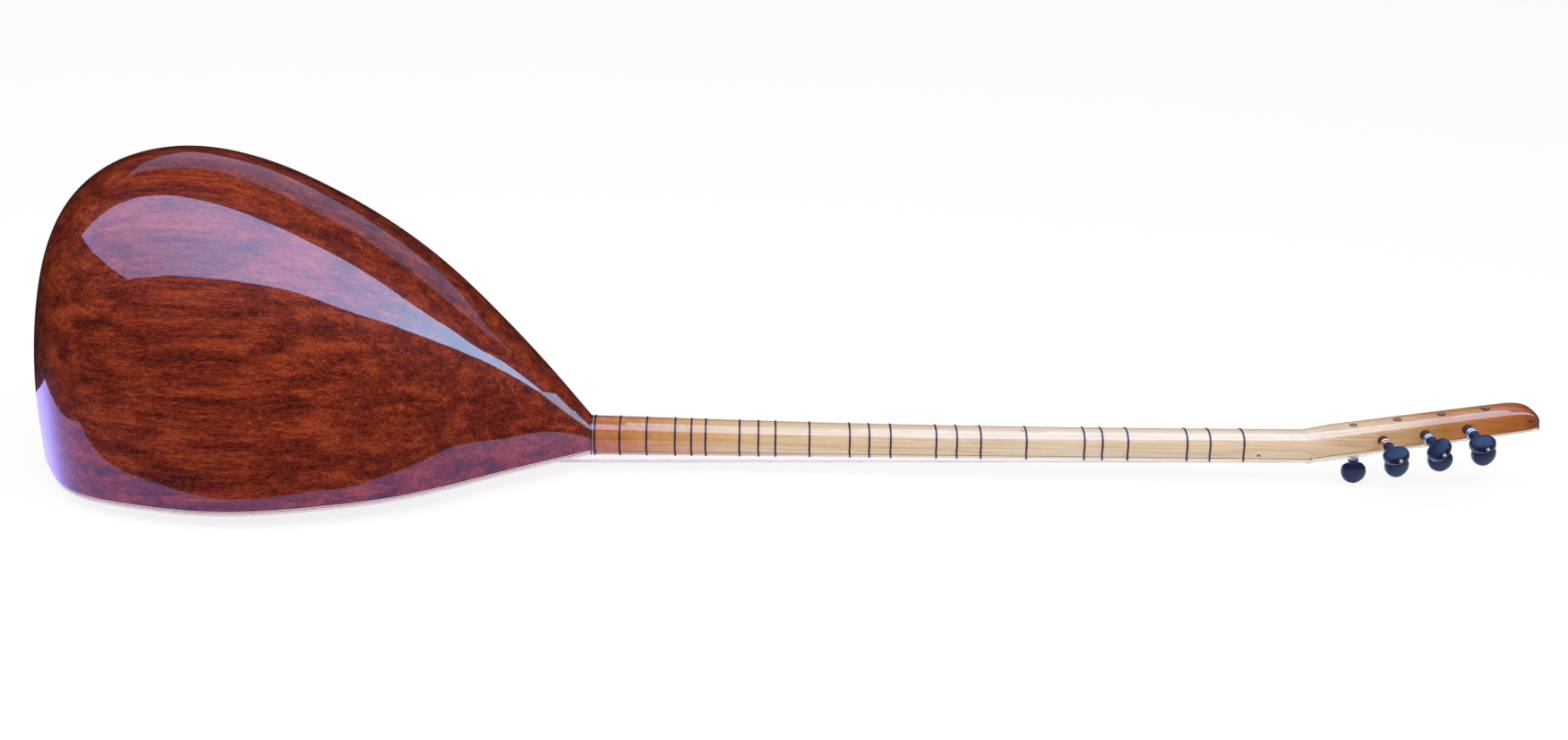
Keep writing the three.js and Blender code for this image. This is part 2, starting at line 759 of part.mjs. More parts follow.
// Moves each side of a closed section outwards by one distance, keeping the sides parallel.
function offsetSection(section, distance) {
  return section.map((point, i) => {
    const before = section[(i + section.length - 1) % section.length];
    const after = section[(i + 1) % section.length];
    const arriving = point.clone().sub(before).normalize();
    const leaving = after.clone().sub(point).normalize();
    const outward = new THREE.Vector2(-arriving.y - leaving.y, arriving.x + leaving.x).normalize();
    const stretch = new THREE.Vector2(-arriving.y, arriving.x).dot(outward);
    return point.clone().addScaledVector(outward, distance / stretch);
  });
}

// Each fret is one unbroken line wound round neck and fretboard.
function fretPoints(x) {
  const section = offsetSection(neckSection(x, 0), seam + fretLineDiameter / 2);
  const points = [];
  for (let i = 0; i <= fretTurns * section.length; i += 1) {
    const turn = i / section.length;
    const point = section[i % section.length];
    points.push(new THREE.Vector3(x + (turn - fretTurns / 2) * fretLineStep, point.x, point.y));
  }
  return points;
}

const fretBand = fretTurns * fretLineStep + fretLineDiameter;
const fretPlaces = fretPitchShares
  .map((share) => nutPlace - stringLength * (1 - 2 ** -share))
  .filter((x) => x - fretBand / 2 > neckStart);

fretPlaces.forEach((x, i) => {
  const points = fretPoints(x);
  const gap = leastGap(points, fretLineDiameter, 2 * neckAt(x).halfWidth + 2 * neckAt(x).depth);
  console.log(`fret ${i + 1}: least gap to itself ${gap.toFixed(2)} mm`);
  addMesh(`fret_${i + 1}`, sweep(points, fretLineDiameter), nylon);
});

// A peg in its own frame: z = 0 is the face of the head, and +z runs out to the peg's end.
function pegGeometry(inside, shaft, neck) {
  const ring = (z, halfWidth, halfThickness) => {
    const points = [];
    for (let j = 0; j < pegSides; j += 1) {
      const angle = (-2 * Math.PI * j) / pegSides;
      points.push(new THREE.Vector3(halfWidth * Math.cos(angle), halfThickness * Math.sin(angle), z));
    }
    return points;
  };
  const round = (z, radius) => ring(z, radius, radius);
  const collar = pegCollarDiameter / 2;
  const neckEnd = shaft + pegCollarLength + neck;
  const rings = [
    round(-inside, pegTipDiameter / 2),
    round(0, pegShaftDiameter / 2),
    round(shaft, pegShaftDiameter / 2),
    round(shaft + pegCollarLength * pegCollarRampShare, collar),
    round(shaft + pegCollarLength * (1 - pegCollarRampShare), collar),
    round(shaft + pegCollarLength, pegNeckWidth / 2),
  ];
  rings.push(round(neckEnd, pegNeckWidth / 2));
  const flatStart = Math.asin(pegNeckWidth / pegHeadWidth);
  const flatEnd = Math.PI - Math.asin(pipDiameter / pegHeadWidth);
  for (let i = 1; i <= pegHeadStations; i += 1) {
    const angle = THREE.MathUtils.lerp(flatStart, flatEnd, i / pegHeadStations);
    const turned = Math.cos(flatStart) - Math.cos(angle);
    const along = turned / (Math.cos(flatStart) - Math.cos(flatEnd));
    const across = Math.sin(angle);
    rings.push(ring(
      neckEnd + along * (pegHeadLength - pipHeight),
      (pegHeadWidth / 2) * across,
      (pegHeadThickness / 2) * across ** pegFlatShare,
    ));
  }
  return loft(rings);
}

function pegReach(shaft, neck) {
  return shaft + pegCollarLength + neck + pegHeadLength;
}

function pipGeometry() {
  const radius = pipDiameter / 2;
  const profile = [
    new THREE.Vector2(0, 0),
    new THREE.Vector2(radius, 0),
    new THREE.Vector2(radius, (pipHeight - seam) / 2),
    new THREE.Vector2(radius / 2, pipHeight - seam),
    new THREE.Vector2(0, pipHeight - seam),
  ];
  return new THREE.LatheGeometry(profile, pegSides).rotateX(Math.PI / 2);
}

function addPeg(name, group, turn, inside, shaft, neck) {
  const peg = addMesh(name, pegGeometry(inside, shaft, neck), ebony, group);
  peg.rotation.z = turn;
  const pip = addMesh(`${name}_pip`, pipGeometry(), pearl, group);
  pip.position.z = pegReach(shaft, neck) - pipHeight + seam;
  head.add(group);
}

frontPegPlaces.forEach((x, i) => {
  const group = new THREE.Group();
  group.position.set(x, 0, 0);
  group.rotation.x = Math.PI;
  const inside = headAt(x).depth - pegTipRecess;
  addPeg(`front_peg_${i + 1}`, group, frontPegTurns[i], inside, frontPegShaft, frontPegNeck);
});

sidePegPlaces.forEach((x, i) => {
  const group = new THREE.Group();
  const halfWidth = headAt(x).halfWidth;
  group.position.set(x, -halfWidth, sidePegRise);
  group.rotation.x = Math.PI / 2;
  const inside = 2 * halfWidth - pegTipRecess;
  addPeg(`side_peg_${i + 1}`, group, sidePegTurns[i], inside, sidePegShaft, sidePegNeck);
});

// A string's turns round a peg shaft end beside its collar, so they start this far along it.
function windingStart(shaft, wire) {
  return shaft - windingCollarGap - wire / 2 - windingTurns * (wire + windingSelfGap);
}

// The turns lie in the plane across the shaft and begin where the arriving string meets it.
function windingPoints(centre, arrival, first, second, axis, wire) {
  const radius = pegShaftDiameter / 2 + seam + wire / 2;
  const corner = radius / Math.cos(Math.PI / windingSteps);
  const offset = arrival.clone().sub(centre);
  const flat = new THREE.Vector2(offset.dot(first), offset.dot(second));
  const touch = Math.atan2(flat.y, flat.x) + Math.acos(corner / flat.length());
  const points = [];
  for (let i = 0; i <= windingTurns * windingSteps; i += 1) {
    const turn = i / windingSteps;
    const angle = touch + 2 * Math.PI * turn;
    points.push(centre.clone()
      .addScaledVector(first, corner * Math.cos(angle))
      .addScaledVector(second, corner * Math.sin(angle))
      .addScaledVector(axis, turn * (wire + windingSelfGap)));
  }
  return points;
}

// Strings one to three go to the side pegs and four to seven to the front pegs, nearest peg first.
function stringRoute(i) {
  const wire = stringWires[i];
  const bridgeLevel = -bridgeHeight + bridgeNotchDepth - seam - wire / 2;
  const nutLevel = -nutHeight + nutNotchDepth - seam - wire / 2;
  const knot = tailpieceFromTail + tailpieceLength + seam;
  const route = [
    new THREE.Vector3(knot, bridgeStringPlaces[i], -tailpieceHeight / 2),
    new THREE.Vector3(bridgeFromTail, bridgeStringPlaces[i], bridgeLevel),
    new THREE.Vector3(nutPlace, nutStringPlaces[i], nutLevel),
    new THREE.Vector3(nutPlace + nutThickness, nutStringPlaces[i], nutLevel),
  ].map((point) => point.applyMatrix4(toHead));
  const alongHead = new THREE.Vector3(1, 0, 0);
  const towardsBack = new THREE.Vector3(0, 0, 1);
  const towardsBass = new THREE.Vector3(0, -1, 0);
  const towardsFront = new THREE.Vector3(0, 0, -1);
  let winding;
  if (i < sidePegCount) {
    const x = sidePegPlaces[i];
    const halfWidth = headAt(x).halfWidth;
    const clear = edgeClearance + wire / 2;
    const edge = new THREE.Vector3(x - edgeRun, -halfWidth - clear, -clear);
    const centre = new THREE.Vector3(x, -halfWidth - windingStart(sidePegShaft, wire), sidePegRise);
    winding = windingPoints(centre, edge, alongHead, towardsBack, towardsBass, wire);
    route.push(edge);
  } else {
    const x = frontPegPlaces[i - sidePegCount];
    const centre = new THREE.Vector3(x, 0, -windingStart(frontPegShaft, wire));
    const arrival = route[route.length - 1];
    winding = windingPoints(centre, arrival, alongHead, towardsBass, towardsFront, wire);
  }
  const turnLength = Math.PI * (pegShaftDiameter + wire);
  const gap = leastGap(winding, wire, turnLength);
  console.log(`string ${i + 1}: least gap to itself ${gap.toFixed(2)} mm`);
  return [...route, ...winding];
}

stringWires.forEach((wire, i) => {
  const material = wire === woundWire ? copper : steel;
  addMesh(`string_${i + 1}`, sweep(stringRoute(i), wire), material, head);
});

// The instrument lies face down on its bridge and on the end of the front peg nearest the nut.
const divanSaz = new THREE.Group();
divanSaz.add(instrument);
const restingPieces = ["bridge", "front_peg_1_pip"].map((name) => instrument.getObjectByName(name));
for (let pass = 0; pass < settlingPasses; pass += 1) {
  divanSaz.updateMatrixWorld(true);
  const [onBridge, onPeg] = restingPieces.map((piece) => new THREE.Box3().setFromObject(piece, true));
  instrument.rotation.y -= Math.atan2(onBridge.min.z - onPeg.min.z, onPeg.min.x - onBridge.min.x);
}
divanSaz.updateMatrixWorld(true);
const bounds = new THREE.Box3().setFromObject(divanSaz, true);
instrument.position.set(
  -(bounds.min.x + bounds.max.x) / 2,
  -(bounds.min.y + bounds.max.y) / 2,
  -bounds.min.z,
);

export default divanSaz;
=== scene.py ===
import json
import math

import bpy
from mathutils import Matrix, Quaternion, Vector, noise


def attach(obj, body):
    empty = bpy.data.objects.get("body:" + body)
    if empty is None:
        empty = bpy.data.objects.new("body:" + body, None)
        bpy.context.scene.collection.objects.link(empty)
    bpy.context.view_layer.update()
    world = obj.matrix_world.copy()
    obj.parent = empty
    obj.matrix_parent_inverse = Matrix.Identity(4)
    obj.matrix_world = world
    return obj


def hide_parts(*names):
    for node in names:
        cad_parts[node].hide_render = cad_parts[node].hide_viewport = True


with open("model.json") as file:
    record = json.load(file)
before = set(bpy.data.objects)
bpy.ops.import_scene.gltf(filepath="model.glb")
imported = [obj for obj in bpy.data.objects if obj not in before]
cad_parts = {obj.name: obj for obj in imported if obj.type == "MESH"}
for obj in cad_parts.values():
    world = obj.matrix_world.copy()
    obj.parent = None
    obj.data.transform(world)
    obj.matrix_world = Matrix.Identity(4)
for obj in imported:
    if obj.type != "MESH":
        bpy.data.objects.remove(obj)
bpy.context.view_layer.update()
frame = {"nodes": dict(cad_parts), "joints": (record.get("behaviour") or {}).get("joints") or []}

bpy.ops.object.select_all(action="DESELECT")


# Camera: it stands 1.3 m in front of the instrument's treble side and a good half metre above what
# it lies on, and looks down on it. It is a touch askew, as when it is held by hand.
camera_at = Vector((-0.0803, -1.3310, 0.6369))
looks_at = Vector((-0.0182, 0.0, 0.0971))
askew = math.radians(2.63)
camera_turn = (looks_at - camera_at).to_track_quat("-Z", "Y") @ Quaternion((0, 0, 1), askew)
bpy.ops.object.camera_add(location=camera_at, rotation=camera_turn.to_euler())
camera = bpy.context.active_object
camera.data.sensor_width = 36
camera.data.lens = 36.82
camera.data.clip_end = 60
bpy.context.scene.camera = camera


# How it lies: each piece is made along x from the tail, with the playing face at z = 0, as a maker
# draws it. The whole is laid face down on the bridge and on the lowest peg, a little tilted, and
# the head is bent back from the nut. The first peg's axis in the record gives the tilt.
NUT_AT = 1.140
HEAD_BEND = math.radians(9.1)
FRONT_PEG_AT = 0.0485
joints = {joint["name"]: joint for joint in frame["joints"]}
first_peg = joints["front_peg_1_turn"]
lean = math.atan2(first_peg["axis"][0], -first_peg["axis"][2]) - HEAD_BEND
bent_back = Matrix.Translation((NUT_AT, 0, 0)) @ Matrix.Rotation(-HEAD_BEND, 4, "Y")
tilt = Matrix.Rotation(-lean, 4, "Y")
peg_foot = tilt @ bent_back @ Vector((FRONT_PEG_AT, 0, 0))
lie = Matrix.Translation(Vector(first_peg["pos_m"]) - peg_foot) @ tilt
head_lie = lie @ bent_back
TAIL_X = lie.translation.x


# Bowl: one block of mahogany, carved to a pear half, hollowed to a wall of 7 mm and left solid
# where the neck is let in. It is lacquered and polished to a mirror, and has a sound hole in the
# tail. Each of its lines gives a share of the length, of the width and of the depth.
BODY_LENGTH = 0.486
BOWL_WIDTH = 0.290
BOWL_DEPTH = 0.268
BOWL_WALL = 0.007
SOUND_HOLE_RADIUS = 0.009
SOUND_HOLE_HEIGHT = 0.062
RIM_HEIGHT = 0.0043
NECK_BLOCK = 0.062
TAIL_SWELL = 0.0024
BOWL_FULLNESS = 0.026
JOINT_HALF_WIDTH = 0.0171
JOINT_DEPTH = 0.0296
TENON_ENDS = (0.442, 0.494)
TENON_HALF_WIDTH = 0.008
TENON_HEIGHTS = (0.008, 0.021)
TENON_PLAY = 0.0003
NECK_UPRIGHT = 0.24
NECK_FULLNESS = 0.072
BOWL_LINES = [
    (0.00, 0.000, 0.000),
    (0.04, 0.365, 0.570),
    (0.12, 0.730, 0.872),
    (0.25, 0.920, 1.000),
    (0.40, 1.000, 0.985),
    (0.55, 0.925, 0.870),
    (0.70, 0.750, 0.692),
    (0.85, 0.430, 0.434),
]
BASE_SHARE = 0.1
WALL_SHARE_ROUND = 0.08


def evenly_bent(points):
    """The line of even bend through points, as a function of a step from 0 to 1."""
    last = len(points) - 1
    bends = [points[0] * 0 for _ in points]
    for _ in range(60):
        for i in range(1, last):
            sag = points[i - 1] - 2 * points[i] + points[i + 1]
            bends[i] = (6 * sag - bends[i - 1] - bends[i + 1]) / 4

    def at(step):
        i = min(int(step * last), last - 1)
        near = step * last - i
        far = 1 - near
        straight = far * points[i] + near * points[i + 1]
        return straight + ((far**3 - far) * bends[i] + (near**3 - near) * bends[i + 1]) / 6

    return at


bowl_points = [
    Vector((math.sqrt(share) * BODY_LENGTH, width * BOWL_WIDTH / 2, depth * BOWL_DEPTH))
    for share, width, depth in BOWL_LINES
]
bowl_points.append(Vector((BODY_LENGTH, JOINT_HALF_WIDTH, JOINT_DEPTH)))
bowl_line = evenly_bent(bowl_points)


def smooth(value, low, high):
    """Rises softly from 0 to 1 while value goes from low to high."""
    share = min(max((value - low) / (high - low), 0), 1)
    return share * share * (3 - 2 * share)


def round_back(around, half_width, base, depth, wall_share, fullness):
    """A point (y, z) of a closed section: upright sides, a round back and a flat base."""
    if around > 1 - BASE_SHARE:
        return half_width * (1 - 2 * (around - 1 + BASE_SHARE) / BASE_SHARE), base
    wall_top = max(depth * wall_share, base)
    up = around / (1 - BASE_SHARE)
    wall = WALL_SHARE_ROUND if wall_share > 0 else 0
    if wall and (up < wall or up > 1 - wall):
        side = -1 if up < wall else 1
        return side * half_width, base + (wall_top - base) * min(up, 1 - up) / wall
    angle = math.pi * (up - wall) / (1 - 2 * wall)
    full = 1 + fullness * math.sin(2 * angle) ** 2
    return (
        -half_width * math.cos(angle) * full,
        wall_top + (depth - wall_top) * math.sin(angle) * full,
    )


def bowl_place(step, around, wall):
    """A point of the bowl. Its section grows squarer near the neck, to meet the neck's own."""
    line = bowl_line(step)
    share = (line.x / BODY_LENGTH) ** 2
    half_width = line.y - wall
    depth = line.z - wall
    y, z = round_back(around, half_width, 0, depth, 0, BOWL_FULLNESS)
    square_y, square_z = round_back(
        around, half_width, 0, depth, NECK_UPRIGHT, NECK_FULLNESS
    )
    near_neck = smooth(share, 0.82, 1)
    y += (square_y - y) * near_neck
    z += (square_z - z) * near_neck
    tail = math.exp(-share / 0.25) * (1 - math.exp(-max(depth, 0) / 0.02))
    x = share * BODY_LENGTH - TAIL_SWELL * tail * z / max(depth, 1e-6)
    return Vector((x, y, z))


def pick(piece):
    """Makes one piece the only one selected."""
    bpy.ops.object.select_all(action="DESELECT")
    piece.select_set(True)
    bpy.context.view_layer.objects.active = piece


def open_mesh(piece):
    """Takes one piece into edit mode, with all of it selected."""
    pick(piece)
    bpy.ops.object.mode_set(mode="EDIT")
    bpy.ops.mesh.select_all(action="SELECT")


def close_up(piece):
    """Joins edges that meet, fills the open ends and turns every face outwards."""
    open_mesh(piece)
    bpy.ops.mesh.remove_doubles(threshold=0.000002)
    bpy.ops.mesh.fill_holes(sides=0)
    bpy.ops.mesh.normals_make_consistent(inside=False)
    bpy.ops.mesh.select_all(action="DESELECT")
    bpy.ops.mesh.select_face_by_sides(number=4, type="GREATER")
    bpy.ops.mesh.quads_convert_to_tris(ngon_method="BEAUTY")
    bpy.ops.object.mode_set(mode="OBJECT")


def skin(name, columns, rows, place):
    """A closed skin whose corners go to place(along, around), both from 0 to 1."""
    bpy.ops.mesh.primitive_grid_add(x_subdivisions=columns, y_subdivisions=rows, size=1)
    piece = bpy.context.active_object
    piece.name = name
    for corner in piece.data.vertices:
        corner.co = place(corner.co.x + 0.5, corner.co.y + 0.5)
    close_up(piece)
    return piece


def cut(piece, tool, operation="DIFFERENCE"):
    """Takes the tool's shape out of a piece, or adds it."""
    pick(piece)
    work = piece.modifiers.new("work", "BOOLEAN")
    work.operation = operation
    work.solver = "EXACT"
    work.object = tool
    bpy.ops.object.modifier_apply(modifier=work.name)
    bpy.data.objects.remove(tool)


def block(name, low, high):
    """A squared block between two corners."""
    bpy.ops.mesh.primitive_cube_add(size=1)
    piece = bpy.context.active_object
    piece.name = name
    size = Vector(high) - Vector(low)
    middle = (Vector(high) + Vector(low)) / 2
    piece.data.transform(Matrix.Translation(middle) @ Matrix.Diagonal((*size, 1)))
    return piece


def tenon_block(name, start, end, play=0.0):
    """The square section of the neck's tenon between two places, or room for it."""
    half_width = TENON_HALF_WIDTH + play
    low, high = TENON_HEIGHTS
    return block(name, (start, -half_width, low - play), (end, half_width, high + play))


def fit(piece, slot, finish, place, nodes=(), sharp=30, body="instrument"):
    """Lays a finished piece in its place, gives it its finish and lets it stand for its nodes."""
    piece.data.transform(place)
    pick(piece)
    bpy.ops.object.shade_smooth_by_angle(angle=math.radians(sharp))
    piece.data.materials.clear()
    piece.data.materials.append(finish)
    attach(piece, body)
    if nodes:
        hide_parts(*nodes)


class Wire:
    """A socket in a finish. Sums written with it become Math nodes."""

    def __init__(self, tree, socket=None):
        self.tree = tree
        self.socket = socket

    def put(self, kind, sockets, output=0, stops=(), **settings):
        """Adds a node: its settings and colour stops first, then the values of its sockets."""
        node = self.tree.nodes.new(kind)
        for name, value in settings.items():
            setattr(node, name, value)
        for i, (place, colour) in enumerate(stops):
            ramp = node.color_ramp.elements
            stop = ramp[i] if i < 2 else ramp.new(place)
            stop.position = place
            stop.color = (*colour, 1)
        for key, value in sockets.items():
            entry = node.inputs[key]
            if isinstance(value, Wire):
                self.tree.links.new(value.socket, entry)
            elif entry.type == "RGBA":
                entry.default_value = (*value, 1)
            else:
                entry.default_value = value
        return Wire(self.tree, node.outputs[output] if node.outputs else None)

    def work_out(self, operation, first, second=0.0):
        return self.put("ShaderNodeMath", {0: first, 1: second}, operation=operation)

    def __add__(self, other):
        return self.work_out("ADD", self, other)

    __radd__ = __add__

    def __sub__(self, other):
        return self.work_out("SUBTRACT", self, other)

    def __rsub__(self, other):
        return self.work_out("SUBTRACT", other, self)

    def __mul__(self, other):
        return self.work_out("MULTIPLY", self, other)

    __rmul__ = __mul__

    def between(self, low, high):
        """Rises softly from 0 to 1 while the value goes from low to high."""
        sockets = {"Value": self, "From Min": low, "From Max": high}
        return self.put("ShaderNodeMapRange", sockets, interpolation_type="SMOOTHSTEP")

    def ramp(self, stops):
        return self.put("ShaderNodeValToRGB", {"Fac": self}, stops=stops)

    def blend(self, factor, first, second, way="MIX"):
        sockets = {0: factor, 6: first, 7: second}
        return self.put("ShaderNodeMix", sockets, output=2, data_type="RGBA", blend_type=way)

    def streaks(self, width, stretch, detail=3.0, wander=0.0):
        """Noise drawn out along the instrument into streaks of one width in metres."""
        scale = (1 / (width * stretch), 1 / width, 1 / width)
        drawn = self.put("ShaderNodeMapping", {"Vector": self, "Scale": scale})
        sockets = {"Vector": drawn, "Scale": 1.0, "Detail": detail, "Distortion": wander}
        return self.put("ShaderNodeTexNoise", sockets)

    def axis(self, number):
        return self.put("ShaderNodeSeparateXYZ", {"Vector": self}, output=number)

    def bump(self, height, depth):
        return self.put("ShaderNodeBump", {"Height": height, "Strength": 1.0, "Distance": depth})


def new_finish(name):
    """An empty finish, the wire that its nodes hang on, and the place on the object."""
    finish = bpy.data.materials.new(name)
    finish.use_nodes = True
    finish.node_tree.nodes.clear()
    wire = Wire(finish.node_tree)
    point = wire.put("ShaderNodeTexCoord", {}, output=3)
    return finish, wire, point


def lay_on(wire, colour, roughness, bump, coat=(0.0, 0.03, 1.5), shine=0.5, metal=0.0):
    """Joins a finish's nodes to the surface, under a coat of a weight, roughness and index."""
    surface = wire.put("ShaderNodeBsdfPrincipled", {
        "Base Color": colour,
        "Metallic": metal,
        "Roughness": roughness,
        "Specular IOR Level": shine,
        "Normal": bump,
        "Coat Weight": coat[0],
        "Coat Roughness": coat[1],
        "Coat IOR": coat[2],
    })
    wire.put("ShaderNodeOutputMaterial", {"Surface": surface})


mahogany, wire, point = new_finish("lacquered mahogany")
bands = point.streaks(0.012, 15, detail=2.0, wander=0.5)
veins = point.streaks(0.0034, 20, wander=0.4)
fibres = point.streaks(0.0011, 6, wander=0.3)
dashes = point.streaks(0.0008, 5, detail=1.0)
pores = dashes.between(0.57, 0.68)
lights = dashes.between(0.44, 0.34)
tone = bands * 0.78 + veins * 0.58 + fibres * 0.72 - 0.52
wood = tone.ramp([
    (0.28, (0.042, 0.0040, 0.0019)),
    (0.42, (0.100, 0.0095, 0.0038)),
    (0.54, (0.168, 0.0175, 0.0060)),
    (0.74, (0.330, 0.0500, 0.0125)),
])
wood = wire.blend(pores * 0.4, wood, (0.036, 0.0045, 0.0028))
wood = wire.blend(lights * 0.38, wood, (0.330, 0.0660, 0.0180))
lay_on(
    wire, wood, 0.34 + fibres * 0.12, wire.bump(fibres - pores * 0.6, 0.00005),
    coat=(1.0, 0.02, 1.48), shine=0.05,
)


def bowl_outside(along, around):
    """The outer skin, with the slight unevenness that hand scraping leaves."""
    place = bowl_place(along, around, 0)
    uneven = noise.noise(place * 26) * 0.00022 + noise.noise(place * 60) * 0.00005
    away = Vector((0, place.y, place.z))
    if away.length > 0.01:
        place += away.normalized() * uneven * smooth(place.z, 0.004, 0.03)
    return place


def bowl_hollow(along, around):
    """The hollow, which stops short of the neck block and opens below the rim."""
    place = bowl_place(0.13 + 0.82 * along, around, BOWL_WALL)
    place.x = BOWL_WALL + place.x * (1 - (NECK_BLOCK + BOWL_WALL) / BODY_LENGTH)
    if around == 0 or around > 1 - BASE_SHARE:
        place.z = -0.01
    return place


bowl = skin("bowl_carved", 190, 120, bowl_outside)
cut(bowl, skin("hollow", 60, 60, bowl_hollow))
bpy.ops.mesh.primitive_cylinder_add(
    vertices=64, radius=SOUND_HOLE_RADIUS, depth=0.06, location=(0, 0, SOUND_HOLE_HEIGHT),
    rotation=(0, math.pi / 2, 0),
)
cut(bowl, bpy.context.active_object)
cut(bowl, tenon_block("mortise", TENON_ENDS[0] - TENON_PLAY, 0.50, TENON_PLAY))
open_mesh(bowl)
bpy.ops.mesh.bisect(
    plane_co=(0, 0, RIM_HEIGHT - 0.0002), plane_no=(0, 0, 1), use_fill=True, clear_inner=True
)
bpy.ops.object.mode_set(mode="OBJECT")
close_up(bowl)
fit(bowl, "mahogany_bowl", mahogany, lie, ["bowl"])


# Edge strips: three strips of maple and dyed veneer, bent round the soundboard's rim and glued
# under the bowl: a cream one 2.7 mm high, a dark line, and a white line against the mahogany,
# which is a painted highlight along the binding's edge.
STRIP_WIDTH = 0.0025
strip_finishes = {}
for strip_name, light, dark in (
    ("cream maple strip", (0.80, 0.66, 0.50), (0.66, 0.50, 0.36)),
    ("dark dyed line", (0.020, 0.008, 0.008), (0.010, 0.004, 0.004)),
    # The white line's pale colour is a painted highlight along the binding's edge.
    ("painted highlight line", (0.86, 0.80, 0.72), (0.74, 0.66, 0.56)),
    ("amber line", (0.40, 0.130, 0.036), (0.27, 0.075, 0.020)),
):
    strip_finish, wire, point = new_finish(strip_name)
    grain = point.streaks(0.0007, 30)
    lay_on(
        wire, wire.blend(grain.between(0.35, 0.7), light, dark), 0.26 + grain * 0.12,
        wire.bump(grain, 0.00003), coat=(0.8, 0.05, 1.45),
    )
    strip_finishes[strip_name] = strip_finish


def rim_at(around, inset):
    """The rim's outline from the joint round the tail and back, drawn in by a width."""
    step = abs(2 * around - 1)
    here = bowl_line(step)
    ahead = bowl_line(min(step + 0.0005, 1))
    before = bowl_line(max(step - 0.0005, 0))
    x = here.x**2 / BODY_LENGTH
    along = Vector(((ahead.x**2 - before.x**2) / BODY_LENGTH, ahead.y - before.y)).normalized()
    side = -1 if around < 0.5 else 1
    return Vector((x + along.y * inset, side * (here.y - along.x * inset)))


def edge_strip(name, low, high, proud):
    """A strip with softly broken edges, between two heights above the playing face."""
    soft = min(0.0004, (high - low) / 4)
    corners = [
        (-proud, low + soft), (-proud, high - soft), (soft - proud, high),
        (STRIP_WIDTH - soft, high), (STRIP_WIDTH, high - soft),
        (STRIP_WIDTH, low + soft), (STRIP_WIDTH - soft, low), (soft - proud, low),
        (-proud, low + soft),
    ]

    def place(along, around):
        inset, height = corners[round(around * (len(corners) - 1))]
        return rim_at(along, inset).to_3d() + Vector((0, 0, height))

    return skin(name, 320, len(corners) - 1, place)


for name, low, high, proud, slot, finish_name, nodes in (
    ("rim_strip_cream", 0.0, 0.0027, 0.0, "rim_cream", "cream maple strip", ["rim_binding"]),
    ("rim_line_dark", 0.0027, 0.0033, 0.0, "dark_veneer", "dark dyed line", []),
    # Painted highlight: a pale line where the binding meets the mahogany.
    ("rim_line_painted_highlight", 0.0033, 0.0042, 0.00005, "rim_cream", "painted highlight line", []),
):
    strip = edge_strip(name, low, high, proud)
    fit(strip, slot, strip_finishes[finish_name], lie, nodes)


# Soundboard: three plates 4 mm thick, glued edge to edge inside the edge strip. The wide middle
# one is straight-grained spruce, left matt, and the two wings are darker, closer wood.
BOARD_THICKNESS = 0.004
WING_LINE = 0.086
GLUE_GAP = 0.0001
spruce, wire, point = new_finish("straight-grained spruce")
wander = point.streaks(0.05, 8, detail=1.0)
rings = wire.work_out("SINE", (point.axis(1) + wander * 0.006) * 3700)
late = rings.between(0.2, 1.0)
silk = point.streaks(0.0006, 30)
patches = point.streaks(0.05, 3, detail=2.0)
board_colour = wire.blend(late * 0.5 + silk * 0.25, (0.72, 0.49, 0.25), (0.42, 0.22, 0.085))
board_colour = wire.blend(patches.between(0.3, 0.75) * 0.35, board_colour, (0.56, 0.34, 0.16))
lay_on(
    wire, board_colour, 0.42 + silk * 0.14, wire.bump(late + silk * 0.5, 0.00005),
    coat=(0.25, 0.2, 1.5),
)
wing_wood, wire, point = new_finish("dark wing wood")
stripes = point.streaks(0.004, 30, detail=4.0, wander=0.4)
silk = point.streaks(0.0008, 18)
lay_on(
    wire,
    (stripes * 0.7 + silk * 0.3).ramp([
        (0.25, (0.070, 0.016, 0.006)),
        (0.50, (0.190, 0.058, 0.018)),
        (0.75, (0.330, 0.130, 0.045)),
    ]),
    0.36 + silk * 0.14, wire.bump(silk, 0.00005), coat=(0.3, 0.15, 1.5),
)


def board_plate(name, planes):
    """The soundboard's outline cut from one sheet, trimmed at joint planes, and given thickness."""
    bpy.ops.mesh.primitive_circle_add(vertices=400, radius=1, fill_type="NGON")
    plate = bpy.context.active_object
    plate.name = name
    for i, corner in enumerate(plate.data.vertices):
        corner.co = rim_at((i + 0.5) / 400, STRIP_WIDTH + GLUE_GAP).to_3d()
    open_mesh(plate)
    for level, away in planes:
        bpy.ops.mesh.select_all(action="SELECT")
        bpy.ops.mesh.bisect(plane_co=(0, level, 0), plane_no=(0, away, 0), clear_outer=True)
    bpy.ops.mesh.select_all(action="SELECT")
    bpy.ops.mesh.extrude_region_move(TRANSFORM_OT_translate={"value": (0, 0, BOARD_THICKNESS)})
    bpy.ops.object.mode_set(mode="OBJECT")
    close_up(plate)
    return plate


middle_plate = board_plate("soundboard_middle", [(WING_LINE, 1), (-WING_LINE, -1)])
fit(middle_plate, "soundboard_spruce", spruce, lie, ["soundboard_centre"])
for side, away in (("bass", 1), ("treble", -1)):
    wing = board_plate(f"soundboard_wing_{side}", [(-away * (WING_LINE + GLUE_GAP), away)])
    fit(wing, "wing_wood", wing_wood, lie, [f"soundboard_{side}_wing"])


# Brace, bridge, nut and tailpiece: small pieces shaped with knife and file. The brace is spruce,
# glued inside. The bridge is maple and is held by the strings alone. The nut is bone, and the
# tailpiece is ebony with the strings tied behind it. Each has its edges eased.
def copy_of(pattern, name):
    """A copy with a mesh of its own."""
    piece = pattern.copy()
    piece.data = pattern.data.copy()
    piece.name = name
    bpy.context.scene.collection.objects.link(piece)
    return piece


